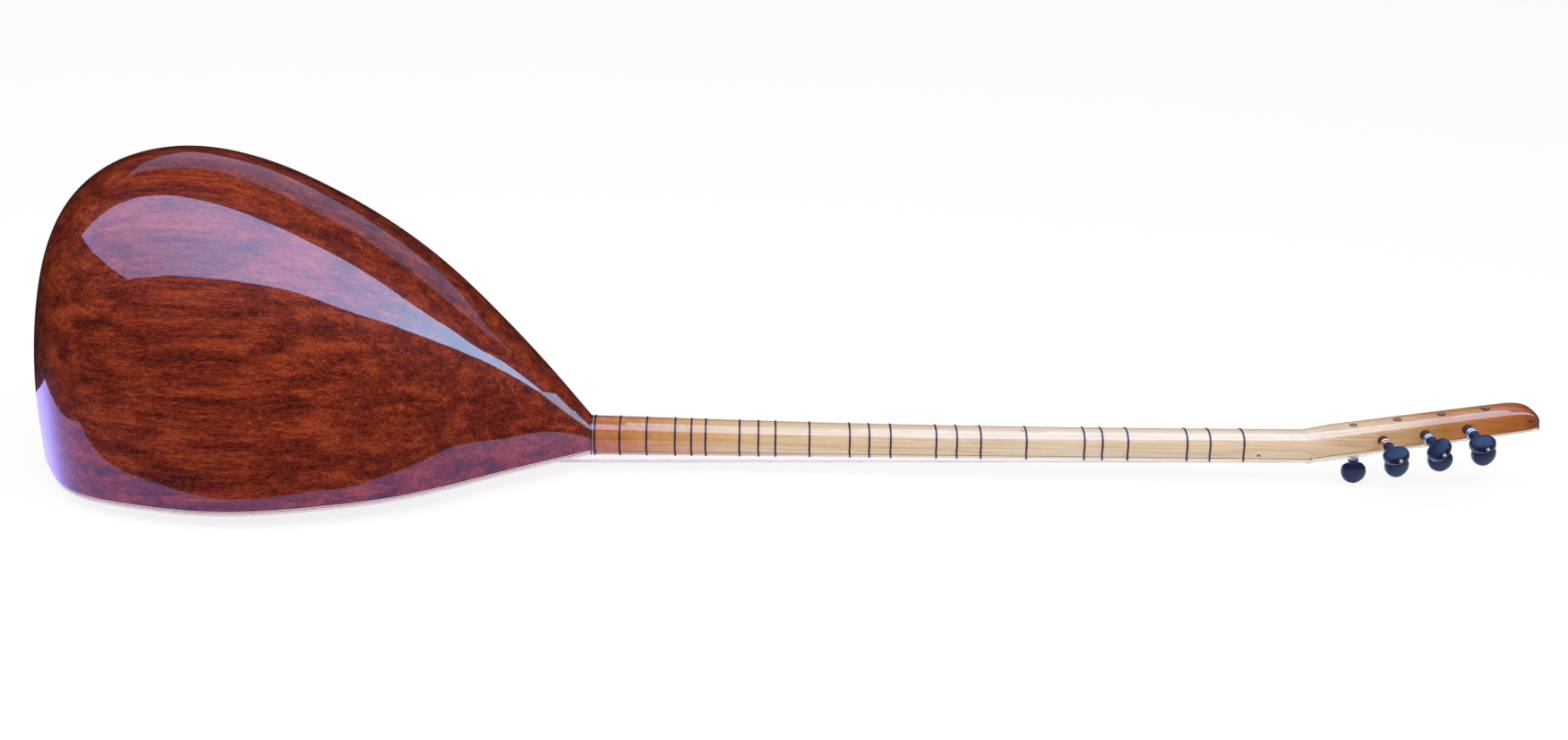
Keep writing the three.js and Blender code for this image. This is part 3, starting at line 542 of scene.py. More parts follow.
def eased_copy(name, node, width):
    """A node's own shape with its flat faces made whole and its edges rounded over."""
    piece = copy_of(frame["nodes"][node], name)
    piece.parent = None
    for key in list(piece.keys()):
        del piece[key]
    open_mesh(piece)
    bpy.ops.mesh.remove_doubles(threshold=0.000005)
    bpy.ops.mesh.dissolve_limited(angle_limit=math.radians(1))
    bpy.ops.object.mode_set(mode="OBJECT")
    easing = piece.modifiers.new("easing", "BEVEL")
    easing.width = width
    easing.segments = 3
    easing.limit_method = "ANGLE"
    easing.angle_limit = math.radians(35)
    bpy.ops.object.modifier_apply(modifier=easing.name)
    return piece


bone, wire, point = new_finish("polished bone")
mottle = point.streaks(0.0018, 1.5)
specks = point.streaks(0.0004, 1.2, detail=1.0).between(0.62, 0.74)
lay_on(
    wire, wire.blend(mottle.between(0.35, 0.7), (0.80, 0.71, 0.55), (0.70, 0.58, 0.40)),
    0.28 + mottle * 0.15, wire.bump(mottle - specks * 0.4, 0.00004),
)
bridge_maple, wire, point = new_finish("bridge maple")
grain = point.streaks(0.0007, 10, detail=4.0)
lay_on(
    wire, wire.blend(grain.between(0.3, 0.7), (0.66, 0.43, 0.22), (0.48, 0.27, 0.12)),
    0.4 + grain * 0.2, wire.bump(grain, 0.00006),
)
ebony, wire, point = new_finish("oiled ebony")
grain = point.streaks(0.0008, 8, detail=4.0)
scuffs = point.streaks(0.004, 1.4, detail=5.0)
# Black stain with a navy tint: the tint is a painted reflection of bluish light in the satin sheen.
stain_and_painted_sheen = wire.blend(grain.between(0.4, 0.75), (0.006, 0.009, 0.040), (0.012, 0.016, 0.050))
bare = wire.put("ShaderNodeAttribute", {}, output=2, attribute_name="bare")
lay_on(
    wire, wire.blend(bare, stain_and_painted_sheen, (0.250, 0.115, 0.085)), 0.32 + grain * 0.12 + scuffs * 0.12,
    wire.bump(grain * 0.6 + scuffs * 0.4, 0.00005), shine=0.12,
)
for name, node, easing, slot, finish in (
    ("brace_eased", "soundboard_brace", 0.0006, "soundboard_spruce", spruce),
    ("bridge_eased", "bridge", 0.0003, "neck_maple", bridge_maple),
    ("nut_eased", "nut", 0.00025, "nut_bone", bone),
    ("tailpiece_eased", "tailpiece", 0.0005, "peg_ebony", ebony),
):
    piece = eased_copy(name, node, easing)
    fit(piece, slot, finish, Matrix.Identity(4), [node])


# Neck: maple with a round back, let into the bowl's block with a square tenon. The lacquer is
# tinted like honey at the joint and fades to pale maple within a third of the neck. Two small
# knots are left in it.
NECK_START = 0.4878
NECK_WIDTHS = (0.0335, 0.029)
NECK_DEPTH = 0.025
NECK_DEPTH_SHARES = [
    (0.0, 1.17), (0.05, 1.155), (0.3, 1.02), (0.55, 0.96), (0.8, 0.965), (1.0, 1.0),
]
WOOD_BASE = 0.0034
neck_depth_line = evenly_bent([Vector((x, depth)) for x, depth in NECK_DEPTH_SHARES])


def taper(ends, share):
    """A measure that changes evenly from one end to the other."""
    return ends[0] + (ends[1] - ends[0]) * share


def neck_at(x):
    """The neck's half width and depth at a distance from the tail."""
    share = (x - BODY_LENGTH) / (NUT_AT - BODY_LENGTH)
    low, high = 0.0, 1.0
    for _ in range(20):
        middle = (low + high) / 2
        if neck_depth_line(middle).x < share:
            low = middle
        else:
            high = middle
    return taper(NECK_WIDTHS, share) / 2, neck_depth_line(high).y * NECK_DEPTH


def neck_skin(name, start, end, columns, base, proud=0.0):
    """A length of round-backed stock, from a base height up to the neck's own back."""
    sections = {}

    def place(along, around):
        x = start + (end - start) * along
        if x not in sections:
            sections[x] = neck_at(x)
        half_width, depth = sections[x]
        y, z = round_back(
            around, half_width + proud, base, depth + proud, NECK_UPRIGHT, NECK_FULLNESS
        )
        return Vector((x, y, z))

    return skin(name, columns, 60, place)


def figured(wire, point, tint, grain, depth, colour):
    """Lines of grain and small flecks over a tint."""
    flecks = point.streaks(0.0007, 9, detail=2.0).between(0.58, 0.75)
    tint = wire.blend(grain.between(0.42, 0.72) * depth, tint, colour, way="MULTIPLY")
    return wire.blend(flecks * 0.22, tint, (0.50, 0.34, 0.20), way="MULTIPLY")


def dark_mark(wire, point, tint, grain, place, squeeze, width, ragged, colour):
    """A small dark mark in the wood, drawn out along the grain."""
    squeezed = wire.put("ShaderNodeMapping", {
        "Vector": point, "Location": (-squeeze * place.x, -place.y, -place.z),
        "Scale": (squeeze, 1, 1),
    })
    away = wire.put("ShaderNodeVectorMath", {0: squeezed}, output=1, operation="LENGTH")
    mark = (away + grain * ragged).between(width, width - 0.0012)
    return wire.blend(mark, tint, colour)


def clear_lacquer(wire, tint, grain):
    """The clear polished lacquer over tinted maple."""
    lay_on(
        wire, tint, 0.40 + grain * 0.12, wire.bump(grain, 0.00004), coat=(1.0, 0.04, 1.45),
        shine=0.05,
    )


NECK_TINTS = [
    (0.00, (0.420, 0.118, 0.022)),
    (0.05, (0.500, 0.185, 0.044)),
    (0.10, (0.570, 0.275, 0.085)),
    (0.17, (0.640, 0.400, 0.190)),
    (0.26, (0.700, 0.500, 0.295)),
    (0.42, (0.730, 0.545, 0.370)),
    (0.60, (0.760, 0.600, 0.450)),
    (1.00, (0.750, 0.575, 0.410)),
]
neck_maple, wire, point = new_finish("tinted neck maple")
cloud = point.streaks(0.02, 2.2, detail=2.0)
past_joint = point.axis(0) - TAIL_X - BODY_LENGTH
share = (past_joint + cloud * 0.012 - 0.006) * (1 / (NUT_AT - BODY_LENGTH))
tint = share.ramp(NECK_TINTS)
grain = point.streaks(0.0024, 34, detail=5.0, wander=0.5)
tint = figured(wire, point, tint, grain, 0.42, (0.62, 0.50, 0.36))
shimmer = point.streaks(0.006, 1.1, detail=2.0, wander=0.6)
tint = wire.blend(shimmer.between(0.4, 0.8) * 0.12, tint, (0.86, 0.72, 0.52))
for knot_at in (Vector((0.878, -0.0050, 0.0240)), Vector((1.095, -0.0147, 0.0062))):
    tint = dark_mark(
        wire, point, tint, grain, lie @ knot_at, 0.5, 0.0019, 0.0006, (0.24, 0.085, 0.030)
    )
clear_lacquer(wire, tint, grain)
neck = neck_skin("neck_shaped", NECK_START + 0.0011, NUT_AT, 130, WOOD_BASE)
cut(neck, tenon_block("tenon", *TENON_ENDS), "UNION")
fit(neck, "neck_maple", neck_maple, lie, ["neck"])


# Joint rings: a thin ring of dark dyed veneer set between bowl and neck, and beside it an inlaid
# ring of amber wood. Both follow the neck's section and stand a hair proud of it.
DARK_RING = (0.4861, 0.4872)
AMBER_RING = (0.4873, 0.4888)
dark_ring = neck_skin("joint_ring_dark", *DARK_RING, 3, 0.0, 0.0003)
cut(dark_ring, tenon_block("slot", 0.48, 0.49, TENON_PLAY))
fit(dark_ring, "dark_veneer", strip_finishes["dark dyed line"], lie, ["joint_ring"])
amber_ring = neck_skin("joint_ring_amber", *AMBER_RING, 3, WOOD_BASE, 0.0001)
cut(amber_ring, tenon_block("slot", 0.48, 0.49, TENON_PLAY))
fit(amber_ring, "neck_maple", strip_finishes["amber line"], lie)


# Fretboard: a flat strip of pale maple on the neck's playing face, with its lower edges rounded
# for the hand. Between it and the neck lies a line of dark veneer.
BOARD_DEPTH = 0.0028
pale_maple, wire, point = new_finish("pale fretboard maple")
share = (point.axis(0) - TAIL_X - BODY_LENGTH) * (1 / (NUT_AT - BODY_LENGTH))
tint = share.ramp([
    (0.00, (0.560, 0.250, 0.120)),
    (0.12, (0.640, 0.370, 0.200)),
    (0.30, (0.700, 0.510, 0.350)),
    (1.00, (0.740, 0.590, 0.450)),
])
grain = point.streaks(0.0016, 30, detail=4.0)
tint = wire.blend(grain.between(0.4, 0.75) * 0.3, tint, (0.70, 0.58, 0.44), way="MULTIPLY")
lay_on(wire, tint, 0.32 + grain * 0.16, wire.bump(grain, 0.00004), coat=(0.7, 0.08, 1.45))


def strip_section(around, half_width, low, high, soft):
    """A flat bar's section as (y, z), with its two lower edges rounded."""
    steps = [(-half_width, high)]
    for side in (-1, 1):
        for i in range(5):
            angle = math.pi / 2 * (i / 4 if side < 0 else 1 - i / 4)
            steps.append((
                side * (half_width - soft + soft * math.cos(angle)),
                low + soft - soft * math.sin(angle),
            ))
    steps.append((half_width, high))
    steps.append((-half_width, high))
    return steps[round(around * (len(steps) - 1))]


def fretboard_place(along, around):
    """The strip from the bowl to the nut, as wide as the neck."""
    x = NECK_START + (NUT_AT - NECK_START) * along
    y, z = strip_section(around, neck_at(x)[0], 0.0, BOARD_DEPTH, 0.0009)
    return Vector((x, y, z))


fretboard = skin("fretboard_strip", 40, 12, fretboard_place)
fit(fretboard, "fingerboard_maple", pale_maple, lie, ["fretboard"])


# Head: maple like the neck, bent back and blunt-nosed, with a pale headplate on its front face and
# the dark veneer line between them. Seven tapered peg holes are reamed right through. The tint
# darkens in cloudy steps to the tip, which has a dark streak and carries a thin ebony cap.
HEAD_LENGTH = 0.2165
HEAD_WIDTHS = (0.029, 0.0275)
HEAD_DEPTHS = (0.025, 0.0228)
NOSE = 0.032
NOSE_ROUND = 2.8
HEAD_WOOD = 0.2133
HEADPLATE_START = 0.0052
FRONT_PITCH = 0.0404
FRONT_PEGS = [FRONT_PEG_AT + FRONT_PITCH * i for i in range(4)]
SIDE_PEG_AT = 0.0704
SIDE_PITCH = 0.0387
SIDE_PEGS = [SIDE_PEG_AT + SIDE_PITCH * i for i in range(3)]
SIDE_PEG_RISE = 0.0117
HOLE_RADIUS = 0.00427
HOLE_TAPER = 0.028


def head_at(x):
    """Half width, depth, upright share and fullness of the head's section, x from the nut."""
    share = x / HEAD_LENGTH
    past_nut = smooth(x, 0, 0.034)
    nose = max(x - HEAD_LENGTH + NOSE, 0) / (NOSE + 0.0012)
    return (
        taper(HEAD_WIDTHS, share) / 2 * (1 - nose**4) ** (1 / 4),
        taper(HEAD_DEPTHS, share) * (1 - nose**NOSE_ROUND) ** (1 / NOSE_ROUND),
        NECK_UPRIGHT + 0.32 * past_nut,
        NECK_FULLNESS + 0.045 * past_nut,
    )


def from_nut(height, along):
    """How far the upright plane at the nut shifts the bent head's first sections."""
    return height * math.tan(HEAD_BEND) * (1 - along) ** 8


def head_skin(name, start, end, columns, base):
    """A length of the head, from a base height up to its back."""

    def place(along, around):
        x = start + (end - start) * along
        half_width, depth, wall_share, fullness = head_at(x)
        y, z = round_back(around, half_width, base, depth, wall_share, fullness)
        if start == 0:
            x += from_nut(z, along)
        return Vector((x, y, z))

    return skin(name, columns, 60, place)


def turned(name, sides, stations):
    """A closed shape turned from a disc: each station is (height, half width, half thickness)."""
    height, width, thickness = stations[0]
    bpy.ops.mesh.primitive_circle_add(vertices=sides, radius=1, fill_type="NGON")
    piece = bpy.context.active_object
    piece.name = name
    piece.data.transform(
        Matrix.Translation((0, 0, height)) @ Matrix.Diagonal((width, thickness, 1, 1))
    )
    open_mesh(piece)
    for next_height, next_width, next_thickness in stations[1:]:
        bpy.ops.mesh.extrude_region_move(
            TRANSFORM_OT_translate={"value": (0, 0, next_height - height)}
        )
        bpy.ops.transform.resize(
            value=(next_width / width, next_thickness / thickness, 1),
            center_override=(0, 0, next_height),
        )
        height, width, thickness = next_height, next_width, next_thickness
    bpy.ops.object.mode_set(mode="OBJECT")
    close_up(piece)
    return piece


def ream(piece, place, through):
    """One tapered peg hole with a countersink at either end, cut by a reamer of that form."""
    narrow = HOLE_RADIUS - HOLE_TAPER * through
    reamer = turned("reamer", 40, [
        (-0.0012, 0.0060, 0.0060), (0.0006, HOLE_RADIUS, HOLE_RADIUS),
        (through - 0.0005, narrow, narrow), (through + 0.0015, 0.0056, 0.0056),
    ])
    reamer.data.transform(place)
    cut(piece, reamer)


def ream_front(piece):
    """The four holes from the front face through to the back."""
    for x in FRONT_PEGS:
        ream(piece, Matrix.Translation((x, 0, 0)), head_at(x)[1])


def ream_side(piece):
    """The three holes from the treble side face across the head."""
    for x in SIDE_PEGS:
        half_width = head_at(x)[0]
        seat = Matrix.Translation((x, -half_width, SIDE_PEG_RISE))
        ream(piece, seat @ Matrix.Rotation(-math.pi / 2, 4, "X"), 2 * half_width)


HEAD_TINTS = [
    (0.00, (0.750, 0.575, 0.410)),
    (0.16, (0.720, 0.510, 0.340)),
    (0.32, (0.690, 0.450, 0.260)),
    (0.46, (0.600, 0.340, 0.145)),
    (0.58, (0.480, 0.190, 0.054)),
    (0.66, (0.540, 0.235, 0.075)),
    (0.78, (0.470, 0.160, 0.042)),
    (0.90, (0.410, 0.115, 0.024)),
    (0.97, (0.260, 0.060, 0.014)),
    (1.00, (0.150, 0.032, 0.012)),
]
head_maple, wire, point = new_finish("tinted head maple")
cloud = point.streaks(0.014, 1.6, detail=2.0)
past_nut = point.axis(0) - head_lie.translation.x
share = (past_nut + cloud * 0.016 - 0.008) * (1 / (HEAD_LENGTH * 0.985))
tint = share.ramp(HEAD_TINTS)
grain = point.streaks(0.0022, 26, detail=5.0, wander=0.5)
tint = figured(wire, point, tint, grain, 0.45, (0.58, 0.44, 0.30))
streak_at = head_lie @ Vector((0.2062, -0.0131, 0.0105))
tint = dark_mark(wire, point, tint, grain, streak_at, 0.35, 0.0020, 0.0008, (0.10, 0.020, 0.010))
clear_lacquer(wire, tint, grain)
headstock = head_skin("headstock_shaped", 0, HEAD_WOOD, 110, WOOD_BASE)
ream_front(headstock)
ream_side(headstock)
fit(headstock, "neck_maple", head_maple, head_lie, ["headstock"])


def headplate_place(along, around):
    """The pale plate on the head's front face, which starts behind the nut."""
    x = HEADPLATE_START + (HEAD_WOOD - HEADPLATE_START) * along
    y, z = strip_section(around, head_at(x)[0], 0.0, BOARD_DEPTH, 0.0006)
    return Vector((x + from_nut(z, along), y, z))


VENEER_NECK_RINGS = 40
VENEER_HEAD_RINGS = 80
VENEER_RINGS = VENEER_NECK_RINGS + VENEER_HEAD_RINGS


def veneer_place(along, around):
    """The dark line under fretboard and headplate in one: it bends at the nut."""
    ring = round(along * VENEER_RINGS)
    if ring <= VENEER_NECK_RINGS:
        x = NECK_START + (NUT_AT - NECK_START) * ring / VENEER_NECK_RINGS
        y, z = strip_section(around, neck_at(x)[0], BOARD_DEPTH, WOOD_BASE, 0.0001)
        return Vector((x, y, z))
    x = HEAD_WOOD * (ring - VENEER_NECK_RINGS) / VENEER_HEAD_RINGS
    y, z = strip_section(around, head_at(x)[0], BOARD_DEPTH, WOOD_BASE, 0.0001)
    return bent_back @ Vector((x, y, z))


headplate = skin("headplate_strip", 80, 12, headplate_place)
ream_front(headplate)
fit(headplate, "fingerboard_maple", pale_maple, head_lie, ["headplate"])
veneer = skin("veneer_dark_line", VENEER_RINGS, 12, veneer_place)
veneer.data.transform(bent_back.inverted())
ream_front(veneer)
fit(veneer, "dark_veneer", strip_finishes["dark dyed line"], head_lie, ["veneer_line"])
cap = head_skin("head_cap", HEAD_WOOD, HEAD_LENGTH, 12, 0.0)
fit(cap, "peg_ebony", ebony, head_lie, ["head_end_cap"])


# Frets: nylon line tied round neck and fretboard, three close turns at each place. The places
# follow the Turkish scale, in cents above the open string.
FRET_CENTS = [
    101, 157, 196, 301, 348, 382, 496, 591, 643, 689, 795, 847,
    896, 1001, 1095, 1144, 1200, 1305, 1351, 1405, 1504, 1602, 1699,
]
STRING_LENGTH = 1.040
LINE_RADIUS = 0.00028
LINE_STEP = 0.00052
LINE_TURNS = 3
nylon, wire, point = new_finish("dark nylon line")
wear = point.streaks(0.0012, 1.5)
lay_on(
    wire, wire.blend(wear.between(0.35, 0.7), (0.018, 0.008, 0.034), (0.038, 0.020, 0.066)),
    0.20 + wear * 0.16, wire.bump(wear, 0.00003), shine=0.2,
)


def cord_of(name, points, radius):
    """A round line of one thickness through points, as a closed mesh."""
    route = bpy.data.curves.new(name, "CURVE")
    route.dimensions = "3D"
    route.bevel_depth = radius
    route.bevel_resolution = 3
    route.use_fill_caps = True
    run = route.splines.new("POLY")
    run.points.add(len(points) - 1)
    for corner, place in zip(run.points, points):
        corner.co = (*place, 1)
    piece = bpy.data.objects.new(name, route)
    bpy.context.scene.collection.objects.link(piece)
    pick(piece)
    bpy.ops.object.convert(target="MESH")
    close_up(piece)
    return piece


def fret_points(x):
    """Three turns round the closed section of neck and fretboard."""
    half_width, depth = neck_at(x)
    steps = 64
    points = []
    for i in range(LINE_TURNS * steps + 1):
        turn = i / steps
        y, z = round_back(
            (turn + 0.05) % 1, half_width + LINE_RADIUS, -LINE_RADIUS, depth + LINE_RADIUS,
            NECK_UPRIGHT, NECK_FULLNESS,
        )
        points.append(Vector((x + (turn - LINE_TURNS / 2) * LINE_STEP, y, z)))
    return points


for i, cents in enumerate(FRET_CENTS):
    place = NUT_AT - STRING_LENGTH * (1 - 2 ** (-cents / 1200))
    fret = cord_of(f"fret_{i + 1}_tied", fret_points(place), LINE_RADIUS)
    fit(fret, "fret_nylon", nylon, lie, [f"fret_{i + 1}"], sharp=80)


# Pegs: ebony, turned on the lathe with a tapered shaft, a ring collar and a slim neck, and then
# flattened to an oval grip for the fingers. Each grip ends in a brown ring with a pearl dot. The
# four in the front face and the three in the side differ only in shaft and neck.
pearl, wire, point = new_finish("pearl dot")
cloud = point.streaks(0.0012, 1.0)
lay_on(
    wire, wire.blend(cloud.between(0.3, 0.7), (0.80, 0.86, 0.92), (0.62, 0.70, 0.84)),
    0.12 + cloud * 0.12, wire.bump(cloud, 0.00003), coat=(0.6, 0.03, 1.5),
)
brown_ring, wire, point = new_finish("brown pip ring")
grain = point.streaks(0.0005, 3)
lay_on(
    wire, wire.blend(grain, (0.060, 0.028, 0.016), (0.120, 0.058, 0.032)), 0.3 + grain * 0.15,
    wire.bump(grain, 0.00003),
)


SHAFT_RADIUS = 0.0040
FRONT_SHAFT = 0.010
FRONT_NECK = 0.002
SIDE_SHAFT = 0.013
SIDE_NECK = 0.008
COLLAR = 0.0026
GRIP_HEIGHT = 0.0194
GRIP_REACH = 0.0205
GRIP_SHAPE = [
    (0.03, 0.0054, 0.0046), (0.07, 0.0073, 0.0053), (0.12, 0.0088, 0.0057),
    (0.18, 0.0099, 0.0059), (0.26, 0.0107, 0.0060), (0.35, 0.0111, 0.0060),
    (0.44, 0.0112, 0.0059), (0.53, 0.0111, 0.0057), (0.62, 0.0107, 0.0054),
    (0.70, 0.0101, 0.0051), (0.78, 0.0092, 0.0047), (0.85, 0.0081, 0.0044),
    (0.91, 0.0067, 0.0040), (0.955, 0.0052, 0.0037), (0.985, 0.0040, 0.0034),
    (1.00, 0.0031, 0.0030),
]


def grip_line(along):
    """The grip's half thickness at a share of its height."""
    last = (0.0, 0.0041, 0.0041)
    for station in GRIP_SHAPE:
        if along <= station[0]:
            step = (along - last[0]) / (station[0] - last[0])
            return last[2] + (station[2] - last[2]) * step
        last = station
    return last[2]


def peg_stations(inside, shaft, neck_length):
    """Stations of one peg, from the shaft's tip through the collar to the end of the grip."""
    stations = [
        (-inside, 0.0029, 0.0029), (-inside + 0.0001, 0.0031, 0.0031),
        (-inside + 0.0005, 0.0032, 0.0032),
        (0.0, SHAFT_RADIUS, SHAFT_RADIUS), (shaft, SHAFT_RADIUS, SHAFT_RADIUS),
    ]
    for i in range(1, 8):
        angle = math.pi * i / 8
        radius = SHAFT_RADIUS + 0.0008 * math.sin(angle) ** 0.6
        stations.append((shaft + COLLAR * (1 - math.cos(angle)) / 2, radius, radius))
    neck_start = shaft + COLLAR
    neck_end = neck_start + neck_length
    slim = min(neck_length / SIDE_NECK, 1)
    for i in range(5):
        share = i / 4
        radius = 0.0041 + slim * (0.0008 * share**2 - 0.0004 * math.sin(math.pi * share))
        stations.append((neck_start + neck_length * share + 0.00005, radius, radius))
    for along, width, thickness in GRIP_SHAPE:
        stations.append((neck_end + along * GRIP_HEIGHT, width, thickness))
    return stations


def square_off(piece, start):
    """Files the grip's two faces flat, so that only its edges stay round."""
    for corner in piece.data.vertices:
        along = min(max((corner.co.z - start) / GRIP_HEIGHT, 0), 1)
        thickness = grip_line(along)
        share = min(abs(corner.co.y) / thickness, 1)
        flat = math.copysign(share**0.5 * thickness, corner.co.y)
        corner.co.y += (flat - corner.co.y) * smooth(along, 0.0, 0.15) * 0.9


def bare_wood(piece, inside, shaft):
    """Marks where the black stain has worn off: a little on the shaft, wholly at its end."""
    bare = piece.data.attributes.new("bare", "FLOAT", "POINT")
    for corner, mark in zip(piece.data.vertices, bare.data):
        height = corner.co.z
        mark.value = 0.22 * (1 - smooth(height, shaft - 0.004, shaft))
        if height < 0.0002 - inside:
            mark.value = 1.0


def pips(reach):
    """The brown ring let into the grip's end, and the pearl dot in it."""
    ring = turned("pip_ring", 40, [
        (reach - 0.0016, 0.0020, 0.0020), (reach - 0.0012, 0.0023, 0.0023),
        (reach - 0.0007, 0.0023, 0.0023), (reach - 0.0004, 0.0020, 0.0020),
        (reach - 0.0003, 0.0014, 0.0014),
    ])
    dot = turned("pip_dot", 40, [
        (reach - 0.0012, 0.0013, 0.0013), (reach - 0.0004, 0.0013, 0.0013),
        (reach - 0.0001, 0.0010, 0.0010), (reach, 0.0005, 0.0005),
    ])
    return ring, dot


def seat_pegs(kind, patterns, places, turns):
    """Copies one kind's three turned shapes to each of its pegs, with their own angle."""
    for i, (place, turn) in enumerate(zip(places, turns)):
        name = f"{kind}_peg_{i + 1}"
        seat = head_lie @ place @ Matrix.Rotation(math.radians(turn), 4, "Z")
        work = (
            ("turned", patterns[0], "peg_ebony", ebony, [name]),
            ("pip_ring", patterns[1], "peg_ebony", brown_ring, []),
            ("pip_dot", patterns[2], "pip_pearl", pearl, [f"{name}_pip"]),
        )
        for part, pattern, slot, finish, nodes in work:
            piece = copy_of(pattern, f"{name}_{part}")
            fit(piece, slot, finish, seat, nodes, sharp=40, body=f"{name}_body")
    for pattern in patterns:
        bpy.data.objects.remove(pattern)


for kind, shaft, neck_length, inside, facing, places, turns in (
    (
        "front", FRONT_SHAFT, FRONT_NECK, head_at(FRONT_PEGS[2])[1] + 0.0010, math.pi,
        [(x, 0, 0) for x in FRONT_PEGS], (4, -6, 3, -5),
    ),
    (
        "side", SIDE_SHAFT, SIDE_NECK, 2 * head_at(SIDE_PEGS[1])[0] + 0.0001, math.pi / 2,
        [(x, -head_at(x)[0], SIDE_PEG_RISE) for x in SIDE_PEGS], (12, 42, 8),
    ),
):
    grip_start = shaft + COLLAR + neck_length
    peg = turned(f"{kind}_pattern", 48, peg_stations(inside, shaft, neck_length))
    square_off(peg, grip_start)
    bare_wood(peg, inside, shaft)
    seats = [Matrix.Translation(place) @ Matrix.Rotation(facing, 4, "X") for place in places]
    seat_pegs(kind, (peg, *pips(grip_start + GRIP_REACH)), seats, turns)


# Strings: seven steel strings in three courses, two of them wound with copper. Each is knotted
# behind the tailpiece, runs over bridge and nut, and ends in five turns on its peg, in two close
# groups.
WIRES = [0.0008, 0.0005, 0.0005, 0.0005, 0.0005, 0.0005, 0.0008]
NUT_SHARES = [-0.76, -0.62, -0.10, 0.10, 0.56, 0.68, 0.80]
BRIDGE_SHARES = [-0.80, -0.68, -0.05, 0.05, 0.56, 0.68, 0.80]
NUT_HALF_WIDTH = 0.0145
BRIDGE_HALF_WIDTH = 0.026
NUT_LEVEL = -0.0011
BRIDGE_LEVEL = -0.0094
KNOT_AT = 0.0173
KNOT_LEVEL = -0.003
PEG_TURNS = 5
steel, wire, point = new_finish("plain steel string")
wear = point.streaks(0.002, 6, detail=4.0)
lay_on(
    wire, wire.blend(wear.between(0.35, 0.7), (0.52, 0.53, 0.56), (0.36, 0.36, 0.36)),
    0.22 + wear * 0.2, wire.bump(wear, 0.00001), metal=1.0,
)
copper, wire, point = new_finish("copper-wound string")
windings = wire.work_out("SINE", point.axis(0) * 25000)
wear = point.streaks(0.002, 6, detail=4.0)
lay_on(
    wire, wire.blend(wear.between(0.35, 0.7), (0.72, 0.33, 0.16), (0.46, 0.20, 0.10)),
    0.26 + wear * 0.2, wire.bump(windings, 0.00002), metal=1.0,
)


def wound(centre, arrival, first, second, axis, radius, thick, span):
    """The turns round a peg's shaft in two close groups, from where the string arrives."""
    offset = arrival - centre
    flat = Vector((offset.dot(first), offset.dot(second)))
    start = math.atan2(flat.y, flat.x) + math.acos(radius / flat.length)
    close = thick * 1.04
    steps = 20
    points = []
    for i in range(PEG_TURNS * steps + 1):
        turn = i / steps
        angle = start + 2 * math.pi * turn
        along = close * turn + (span - PEG_TURNS * close) * smooth(turn, 2.4, 2.9)
        points.append(
            centre + first * radius * math.cos(angle) + second * radius * math.sin(angle)
            + axis * along
        )
    return points


def string_points(i):
    """One string's course, in the bent head's own place."""
    thick = WIRES[i]
    at_bridge = BRIDGE_SHARES[i] * BRIDGE_HALF_WIDTH
    at_nut = NUT_SHARES[i] * NUT_HALF_WIDTH
    to_head = bent_back.inverted()
    route = [to_head @ Vector(place) for place in (
        (KNOT_AT, at_bridge, KNOT_LEVEL),
        (NUT_AT - STRING_LENGTH, at_bridge, BRIDGE_LEVEL - thick / 2),
        (NUT_AT, at_nut, NUT_LEVEL - thick / 2),
        (NUT_AT + 0.005, at_nut, NUT_LEVEL - thick / 2),
    )]
    radius = SHAFT_RADIUS + 0.0001 + thick / 2
    span = 5.2 * thick + 0.0022
    onto_peg = 0.0002 + thick / 2 + span
    if i < len(SIDE_PEGS):
        x = SIDE_PEGS[i]
        face = -head_at(x)[0]
        clear = 0.0008 + thick / 2
        route.append(Vector((x - 0.018, face - clear, -clear)))
        centre = Vector((x, face - SIDE_SHAFT + onto_peg, SIDE_PEG_RISE))
        second, axis = Vector((0, 0, 1)), Vector((0, -1, 0))
    else:
        x = FRONT_PEGS[i - len(SIDE_PEGS)]
        centre = Vector((x, 0, -FRONT_SHAFT + onto_peg))
        second, axis = Vector((0, -1, 0)), Vector((0, 0, -1))
    first = Vector((1, 0, 0))
    return route + wound(centre, route[-1], first, second, axis, radius, thick, span)


for i, thick in enumerate(WIRES):
    string = cord_of(f"string_{i + 1}_strung", string_points(i), thick / 2)
    coppery = thick > 0.0006
    slot = "string_copper" if coppery else "string_steel"
    finish = copper if coppery else steel
    fit(string, slot, finish, head_lie, [f"string_{i + 1}"], sharp=80)


# Studio: a plain white floor, an even pale room and one wide soft lamp overhead. Lit cloths above
# the instrument and just over the floor, and dim curtains between them that keep the lacquer
# deep, show in its gloss alone.
def plain_view(wire):
    """1 for what is seen straight, in a mirror or through glass, and 0 for the light itself."""
    seen = wire.put("ShaderNodeLightPath", {}, output=0)
    mirrored = wire.put("ShaderNodeLightPath", {}, output=3)
    through = wire.put("ShaderNodeLightPath", {}, output=6)
    return seen + mirrored + through


bpy.ops.mesh.primitive_grid_add(x_subdivisions=8, y_subdivisions=8, size=90, location=(0, 3, 0))
floor = bpy.context.active_object
floor.name = "floor"
floor_finish, wire, point = new_finish("white floor")
mottle = point.streaks(0.3, 1, detail=4.0)
paint = wire.put("ShaderNodeBsdfDiffuse", {
    "Color": wire.blend(mottle, (0.86, 0.86, 0.86), (0.84, 0.84, 0.84)),
})
glow = wire.put("ShaderNodeEmission", {"Color": (1.0, 1.0, 1.0), "Strength": 1.05})
shown = wire.put("ShaderNodeMixShader", {0: plain_view(wire) * 0.80, 1: paint, 2: glow})
wire.put("ShaderNodeOutputMaterial", {"Surface": shown})
floor.data.materials.append(floor_finish)

